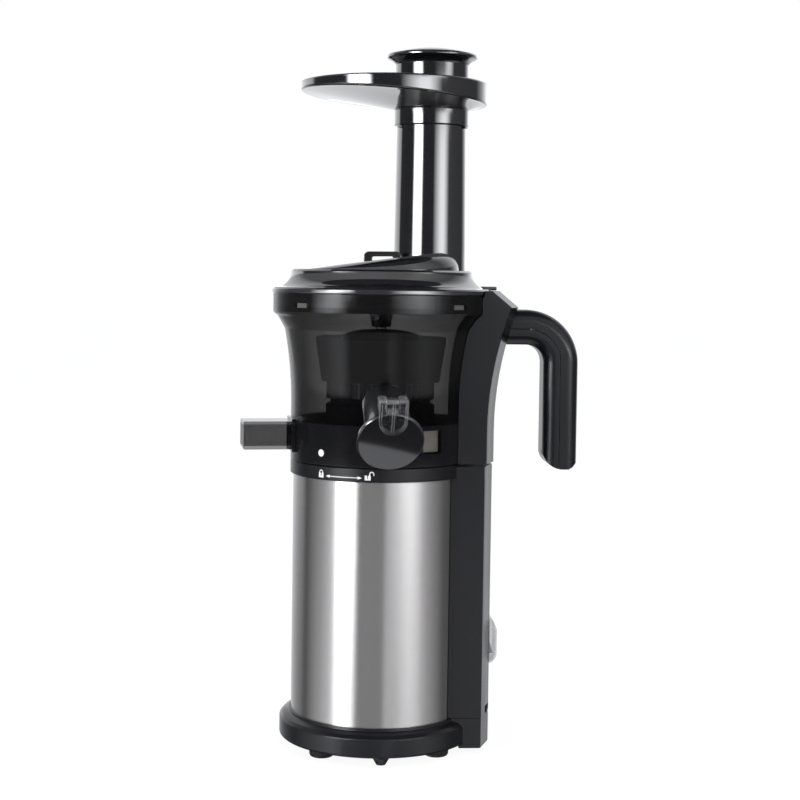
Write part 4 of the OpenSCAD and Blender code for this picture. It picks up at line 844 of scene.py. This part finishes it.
def augerTree():
    # a tube whose radius follows the flights, closed by a dome above them
    tree, desk, get = growTree("augerScrew", {
        **{key: "Float" for key in auger["lengths"]}, "Turns": "Float", "Flights": "Float", "Sides": "Int",
        "Rows": "Int"})
    tube = desk.add("GeometryNodeMeshCylinder", {
        "Vertices": get("Sides"), "Side Segments": get("Rows"), "Radius": 1.0, "Depth": 1.0},
        "Mesh", fill_type="NONE")
    x, y, z = desk.axes(desk.add("GeometryNodeInputPosition"))
    part = z + 0.5
    turn = y.calc("ARCTAN2", x)
    high = part * get("Height")
    # core and crest of the flights; the core narrows upwards from just inside the foot
    core = get("Core radius")
    core = core + (get("Foot radius") - 0.0012 - core) * (1 - part).calc("POWER", 0.8)
    crest = get("Foot radius") + (get("Top radius") - get("Foot radius")) * part
    wave = ((turn + part * get("Turns") * (2 * pi)) * get("Flights")).calc("COSINE")
    flight = core + (crest - core) * wave.calc("MAXIMUM", 0.0).calc("POWER", 5.0)
    low = part.calc("LESS_THAN", 0.08)
    flight = low * get("Foot radius") + (1 - low) * flight
    above = high - get("Height") + get("Dome height")
    rise = (above / get("Dome height")).calc("MAXIMUM", 0.0)
    dome = (1 - rise * rise).calc("MAXIMUM", 0.0).calc("SQRT") * get("Dome radius")
    over = above.calc("GREATER_THAN", -0.0004)
    radius = over * dome + (1 - over) * flight
    place = desk.add("ShaderNodeCombineXYZ", [
        turn.calc("COSINE") * radius, turn.calc("SINE") * radius, high + get("Base")])
    tube = desk.add("GeometryNodeSetPosition", {"Geometry": tube, "Position": place})
    both = tree.nodes.new("GeometryNodeJoinGeometry")
    for shape in (tube, desk.add("GeometryNodeObjectInfo", {"Object": get("Unit")}, "Geometry")):
        tree.links.new(shape.out, both.inputs[0])
    whole = desk.add("GeometryNodeMergeByDistance", {
        "Geometry": Wire(desk, both.outputs[0]), "Distance": 0.00002})
    closeTree(desk, whole, get("Material"))
    return tree


def grown(name, tree, unit, given, material, body, standsFor=(), degrees=30):
    # the tree is run on an empty mesh, and what it makes is kept as a plain mesh
    tool = linked(name + "Unit", smoothMesh(unit, name + "Unit", degrees))
    holder = linked(name + "Tree", bpy.data.meshes.new(name + "Tree"))
    mod = holder.modifiers.new("tree", "NODES")
    mod.node_group = tree
    values = {**given, "Unit": tool, "Material": material}
    for socket in tree.interface.items_tree:
        if socket.in_out == "INPUT":
            mod[socket.identifier] = values[socket.name]
    work = outwards(asWork(evaluated(holder)))
    bpy.data.objects.remove(tool)
    addPiece(name, body, smoothMesh(work, name, degrees), material, standsFor)


onRing = copiesTree()

# bars between the slots of the strainer
screen = {"count": 60, "r": (25.6, 26.5), "z": (208.9, 216.7), "half": 0.36}
bar = block(*[(screen["r"][i], screen["half"] * (2 * i - 1), screen["z"][i]) for i in (0, 1)])
grown("screenBars", onRing, bevelled(bar, 0.12, 2), {
    "Count": screen["count"], "Radius": 0.0, "Start": pi / screen["count"]}, meshSteel, "bowl")

# cross-head screws of the base
screws = {"count": 4, "ring": 40.0, "head": 3.39, "shank": 1.5, "low": 5.1, "under": 6.5, "top": 19.1,
          "cross": (2.1, 0.42, 6.1)}
side = [(0, screws["low"]), (screws["head"], screws["low"]), (screws["head"], screws["under"]),
        (screws["shank"], screws["under"]), (screws["shank"], screws["top"]), (0, screws["top"])]
screw = turned(eased(side, {None: 0, 1: 0.5, 4: 0.4}), steps=48)
long, thin, deep = screws["cross"]
screw = carved(screw, [block((-x, -y, 4.0), (x, y, deep)) for x, y in ((long, thin), (thin, long))])
grown("baseScrews", onRing, screw, {
    "Count": screws["count"], "Radius": screws["ring"] * mm, "Start": 0.0}, pinSteel, "base", ["base_screws"])

# the auger: the screw by its rule, and the bore for the socket as its unit
foot, sides = auger["lengths"]["Base"], auger["counts"]["Sides"]
bore = turned([(0, auger["boreTop"]), (auger["bore"], auger["boreTop"]), (auger["bore"], foot),
               (auger["lengths"]["Foot radius"], foot)], steps=sides)
grown("augerScrew", augerTree(), moved(bore, aboutZ(-180 / sides)), {
    **{key: value * mm for key, value in auger["lengths"].items()}, **auger["counts"]},
    blackMatt, "drive", ["auger"], 38)
print("repeated pieces made")


# printed lock marks, wrapped round the ring

marks = {"lift": 0.06, "thick": 0.05, "dot": (-42.2, 178.15, 2.05), "closed": (-42.0, 164.1),
         "open": (-10.4, 164.05), "arrow": (-38.3, -13.9, 165.25), "lockW": 3.4, "lockH": 2.7,
         "shackle": 1.15, "line": 0.42, "ringR": 53.5}


def ribbon(points, width):
    # outline of a line of this width through the points
    left = []
    right = []
    for i, p in enumerate(points):
        a = points[max(i - 1, 0)]
        b = points[min(i + 1, len(points) - 1)]
        along = Vector((b[0] - a[0], b[1] - a[1])).normalized()
        n = Vector((-along.y, along.x)) * width / 2
        left.append((p[0] + n.x, p[1] + n.y))
        right.append((p[0] - n.x, p[1] - n.y))
    return left + right[::-1]


def printed(name, body, outlines, radius):
    # outlines in mm: x runs along the arc from angle 0, y is the height
    flats = []
    for outline in outlines:
        if sum(a[0] * b[1] - b[0] * a[1] for a, b in zip(outline, outline[1:] + outline[:1])) < 0:
            outline = outline[::-1]
        flat = bmesh.new()
        flat.faces.new([flat.verts.new((u, v, 0)) for u, v in outline])
        low = min(u for u, v in outline)
        high = max(u for u, v in outline)
        for cut in range(ceil(low), ceil(high)):
            # so that long marks follow the curve
            if low + 0.05 < cut < high - 0.05:
                bmesh.ops.bisect_plane(flat, geom=flat.verts[:] + flat.edges[:] + flat.faces[:],
                                       plane_co=(cut, 0, 0), plane_no=(1, 0, 0))
        made = bmesh.ops.extrude_face_region(flat, geom=flat.faces[:])
        for v in [g for g in made["geom"] if isinstance(g, bmesh.types.BMVert)]:
            v.co.z += marks["thick"]
        flats.append(outwards(flat))
    work = joined(*flats)
    for v in work.verts:
        r = radius + marks["lift"] + v.co.z - marks["thick"]
        a = v.co.x / radius
        v.co = Vector((r * cos(a), r * sin(a), v.co.y)) * mm
    addPiece(name, body, asMesh(outwards(work), name), printWhitePaintedGlow)


def padlock(cx, low, isOpen):
    w, h, r, line = marks["lockW"], marks["lockH"], marks["shackle"], marks["line"]
    top = low + h
    body = [(cx - w / 2, low), (cx + w / 2, low), (cx + w / 2, top), (cx + 0.28, top),
            (cx + 0.28, low + h * 0.35), (cx - 0.28, low + h * 0.35), (cx - 0.28, top), (cx - w / 2, top)]
    mid = cx + (w / 2 + r * 0.55 if isOpen else 0)
    rise = 0.85 if isOpen else 0.35
    turns = [pi * (1 - k / 14) for k in range(15)]
    legs = [(mid - r, top - 0.05)] + [(mid + r * cos(a), top + rise + r * sin(a)) for a in turns]
    legs.append((mid + r, top + rise - 0.9 if isOpen else top - 0.05))
    return [body, ribbon(legs, line * 1.25)]


def makeMarks():
    ringR, bowlR, half = marks["ringR"], size["bowlR"], marks["line"] / 2
    turn, z, r = marks["dot"]
    x = radians(turn) * bowlR
    circle = [2 * pi * i / 40 for i in range(40)]
    printed("lockDot", "bowl", [[(x + r * cos(a), z + r * sin(a)) for a in circle]], bowlR)
    *ends, y = marks["arrow"]
    x0, x1 = (radians(a) * ringR for a in ends)
    shaft = [(x0 + 2.2, y - half), (x1 - 2.2, y - half), (x1 - 2.2, y + half), (x0 + 2.2, y + half)]
    heads = [[(x0, y), (x0 + 2.6, y - 0.9), (x0 + 2.6, y + 0.9)],
             [(x1, y), (x1 - 2.6, y + 0.9), (x1 - 2.6, y - 0.9)]]
    locks = []
    for key in ("closed", "open"):
        turn, low = marks[key]
        locks += padlock(radians(turn) * ringR, low, key == "open")
    printed("lockMarks", "base", locks + [shaft] + heads, ringR)


makeMarks()
print("marks made")


# camera

camera = {"lens": 72.0, "sensor": 36.0, "pixels": 800, "distance": 960.0, "height": 280.0, "turn": 4.0,
          "aside": 11.4, "roll": 0.79, "shift": -0.07, "horizon": 277.0}
turn = radians(camera["turn"])
towards = Vector((-cos(turn), sin(turn), 0))
right = Vector((sin(turn), cos(turn), 0))
upwards = Vector((0, 0, 1))


def setCamera(spec):
    data = bpy.data.cameras.new("camera")
    data.lens = spec["lens"]
    data.sensor_width = spec["sensor"]
    data.shift_y = spec["shift"]
    data.clip_start = 0.05
    data.clip_end = 60
    item = linked("camera", data)
    item.location = (-towards * spec["distance"] + right * spec["aside"] + upwards * spec["height"]) * mm
    focal = spec["lens"] / spec["sensor"] * spec["pixels"]
    drop = atan((spec["pixels"] * (0.5 + spec["shift"]) - spec["horizon"]) / focal)
    look = (towards * cos(drop) - upwards * sin(drop)).normalized()
    roll = Matrix.Rotation(radians(spec["roll"]), 3, "Z").to_quaternion()
    item.rotation_mode = "QUATERNION"
    item.rotation_quaternion = look.to_track_quat("-Z", "Y") @ roll
    bpy.context.scene.camera = item


setCamera(camera)


# light, floor and surroundings

def lamp(name, spec):
    data = bpy.data.lights.new(name, "AREA")
    data.shape = "RECTANGLE"
    data.size = spec["wide"]
    data.size_y = spec["tall"]
    data.energy = spec["glow"] * spec["wide"] * spec["tall"] * pi     # glow is the radiance of the panel
    data.color = spec["colour"]
    item = linked(name, data)
    a = radians(spec["angle"])
    e = radians(spec["rise"])
    out = (right * sin(a) - towards * cos(a)) * cos(e) + upwards * sin(e)
    item.location = Vector((0, 0, 0.22)) + out * spec["far"]
    item.rotation_mode = "QUATERNION"
    item.rotation_quaternion = out.to_track_quat("Z", "Y")
    item.visible_glossy = False     # polished faces mirror the ring in the world instead


lamp("lampLeft", {"angle": -46, "rise": 0, "far": 1.7, "wide": 0.62, "tall": 2.2, "glow": 4.0,
                  "colour": (1.0, 0.995, 0.99)})
lamp("lampRight", {"angle": 47, "rise": 0, "far": 1.7, "wide": 0.40, "tall": 2.2, "glow": 2.5,
                   "colour": (1.0, 0.96, 0.91)})
lamp("lampTop", {"angle": 10, "rise": 72, "far": 1.6, "wide": 1.2, "tall": 0.8, "glow": 1.0,
                 "colour": (1, 1, 1)})

# the studio that polished faces mirror: each band of height has a few soft panels, as the angle where
# a panel's ramp begins or ends and its brightness there; white behind the object, dark flags at its sides
mirrored = {
    "down": [(-180, 0.95), (-135, 0.3), (-110, 0.12), (-68, 1.1), (-57, 1.7), (-47, 1.7), (-38, 0.5),
             (8, 0.6), (12, 1.0), (28, 0.45), (57, 1.0), (98, 0.15), (115, 0.1), (150, 0.8), (180, 0.95)],
    "level": [(-180, 0.95), (-150, 0.8), (-120, 0.08), (-70, 0.03), (80, 0.03), (120, 0.08), (150, 0.8),
              (180, 0.95)],
    "rim": [(-180, 0.95), (-150, 0.8), (-120, 0.2), (-78, 0.4), (-58, 8), (-48, 8), (-36, 0.3), (10, 0.4),
            (42, 6.5), (68, 1), (80, 0.3), (120, 0.1), (150, 0.8), (180, 0.95)],
    "rising": [(-180, 1.2), (-119, 1.4), (-112, 0.1), (-60, 0.1), (-50, 25), (-34, 25), (-26, 0.1), (8, 0.1),
               (32, 7), (43, 7), (60, 0.3), (120, 0.12), (150, 1.5), (180, 1.2)],
    "upper": [(-180, 1.2), (-119, 1.4), (-112, 0.1), (-64, 0.1), (-52, 18), (-40, 18), (-28, 0.1), (36, 0.2),
              (50, 5), (58, 5), (70, 0.2), (120, 0.12), (150, 1.5), (180, 1.2)],
    "high": [(-180, 0.7), (-135, 0.8), (-115, 0.35), (-50, 0.7), (30, 0.65), (50, 0.9), (100, 0.3),
             (145, 1.2), (180, 0.7)]}
# where each next band begins, as the height of the mirrored direction
bandEdges = {"rim": (-0.030, -0.024), "rising": (-0.009, 0.012), "upper": (0.117, 0.123),
             "high": (0.150, 0.175)}
brightest = 30.0
# a ring is two ramps, and this is the angle where they meet
ringSeam = 6


def setWorld():
    world = bpy.data.worlds.new("surroundings")
    bpy.context.scene.world = world
    world.use_nodes = True
    desk = Desk(world.node_tree)
    x, y, z = desk.axes(desk.add("ShaderNodeTexCoord"))
    aside = x * right.x + y * right.y
    near = x * -towards.x + y * -towards.y
    angle = aside.calc("ARCTAN2", near) / (2 * pi) + 0.5

    def ramp(panels):
        # brightness round the object, faintly blue
        stops = []
        for turn, bright in panels:
            v = bright / brightest
            stops.append(((turn + 180) / 360, (v, v * 1.01, v * 1.04, 1)))
        return desk.add("ShaderNodeValToRGB", [angle], stops=stops)

    def ring(band):
        first = ramp([stop for stop in mirrored[band] if stop[0] <= ringSeam])
        last = ramp([stop for stop in mirrored[band] if stop[0] > ringSeam])
        both = desk.mixColour(angle.calc("GREATER_THAN", (ringSeam + 180) / 360), first, last)
        return desk.mixColour(1.0, both, (brightest, brightest, brightest, 1), "MULTIPLY")

    glossy = desk.mixColour(desk.step(z, -0.130, -0.121), ring("down"), ring("level"))
    for band, edges in bandEdges.items():
        glossy = desk.mixColour(desk.step(z, *edges), glossy, ring(band))
    # the table in front, pale under the object, and the dark above
    glossy = desk.mixColour(desk.step(z, -0.55, -0.4), (0.06, 0.06, 0.065, 1), glossy)
    glossy = desk.mixColour(desk.step(z, -0.8948, -0.8938), (0.80, 0.81, 0.86, 1), glossy)
    glossy = desk.mixColour(desk.step(z, 0.7795, 0.7825), glossy, (0.07, 0.072, 0.08, 1))
    path = desk.add("ShaderNodeLightPath").out.node.outputs
    seen = Wire(desk, path["Is Camera Ray"]) + Wire(desk, path["Is Transmission Ray"])
    colour = desk.mixColour(Wire(desk, path["Is Glossy Ray"]), (0.42, 0.425, 0.44, 1), glossy)
    colour = desk.mixColour(seen.calc("MINIMUM", 1.0), colour, (1, 1, 1, 1))
    shader = desk.add("ShaderNodeBackground", {"Color": colour, "Strength": 1.0})
    desk.add("ShaderNodeOutputWorld", {"Surface": shader})


def setFloor():
    mesh = bpy.data.meshes.new("floor")
    mesh.from_pydata([(-8, -8, 0), (8, -8, 0), (8, 8, 0), (-8, 8, 0)], [], [(0, 1, 2, 3)])
    item = linked("floor", mesh)
    made, desk = newMaterial("paleFloor")
    seen = desk.add("ShaderNodeLightPath", out="Is Camera Ray")
    shade = desk.add("ShaderNodeBsdfDiffuse", {"Color": (0.82, 0.82, 0.82, 1)})
    faint = desk.add("ShaderNodeBsdfDiffuse", {"Color": (0.16, 0.16, 0.16, 1)})
    bright = desk.add("ShaderNodeEmission", {"Color": (1, 1, 1, 1), "Strength": 0.93})
    both = desk.add("ShaderNodeAddShader", [faint, bright])
    mixed = desk.add("ShaderNodeMixShader", [seen, shade, both])
    desk.add("ShaderNodeOutputMaterial", {"Surface": mixed})
    mesh.materials.append(made)
    item.visible_glossy = False


setWorld()
setFloor()
bpy.context.scene.view_settings.view_transform = "Standard"
print("camera and light set")
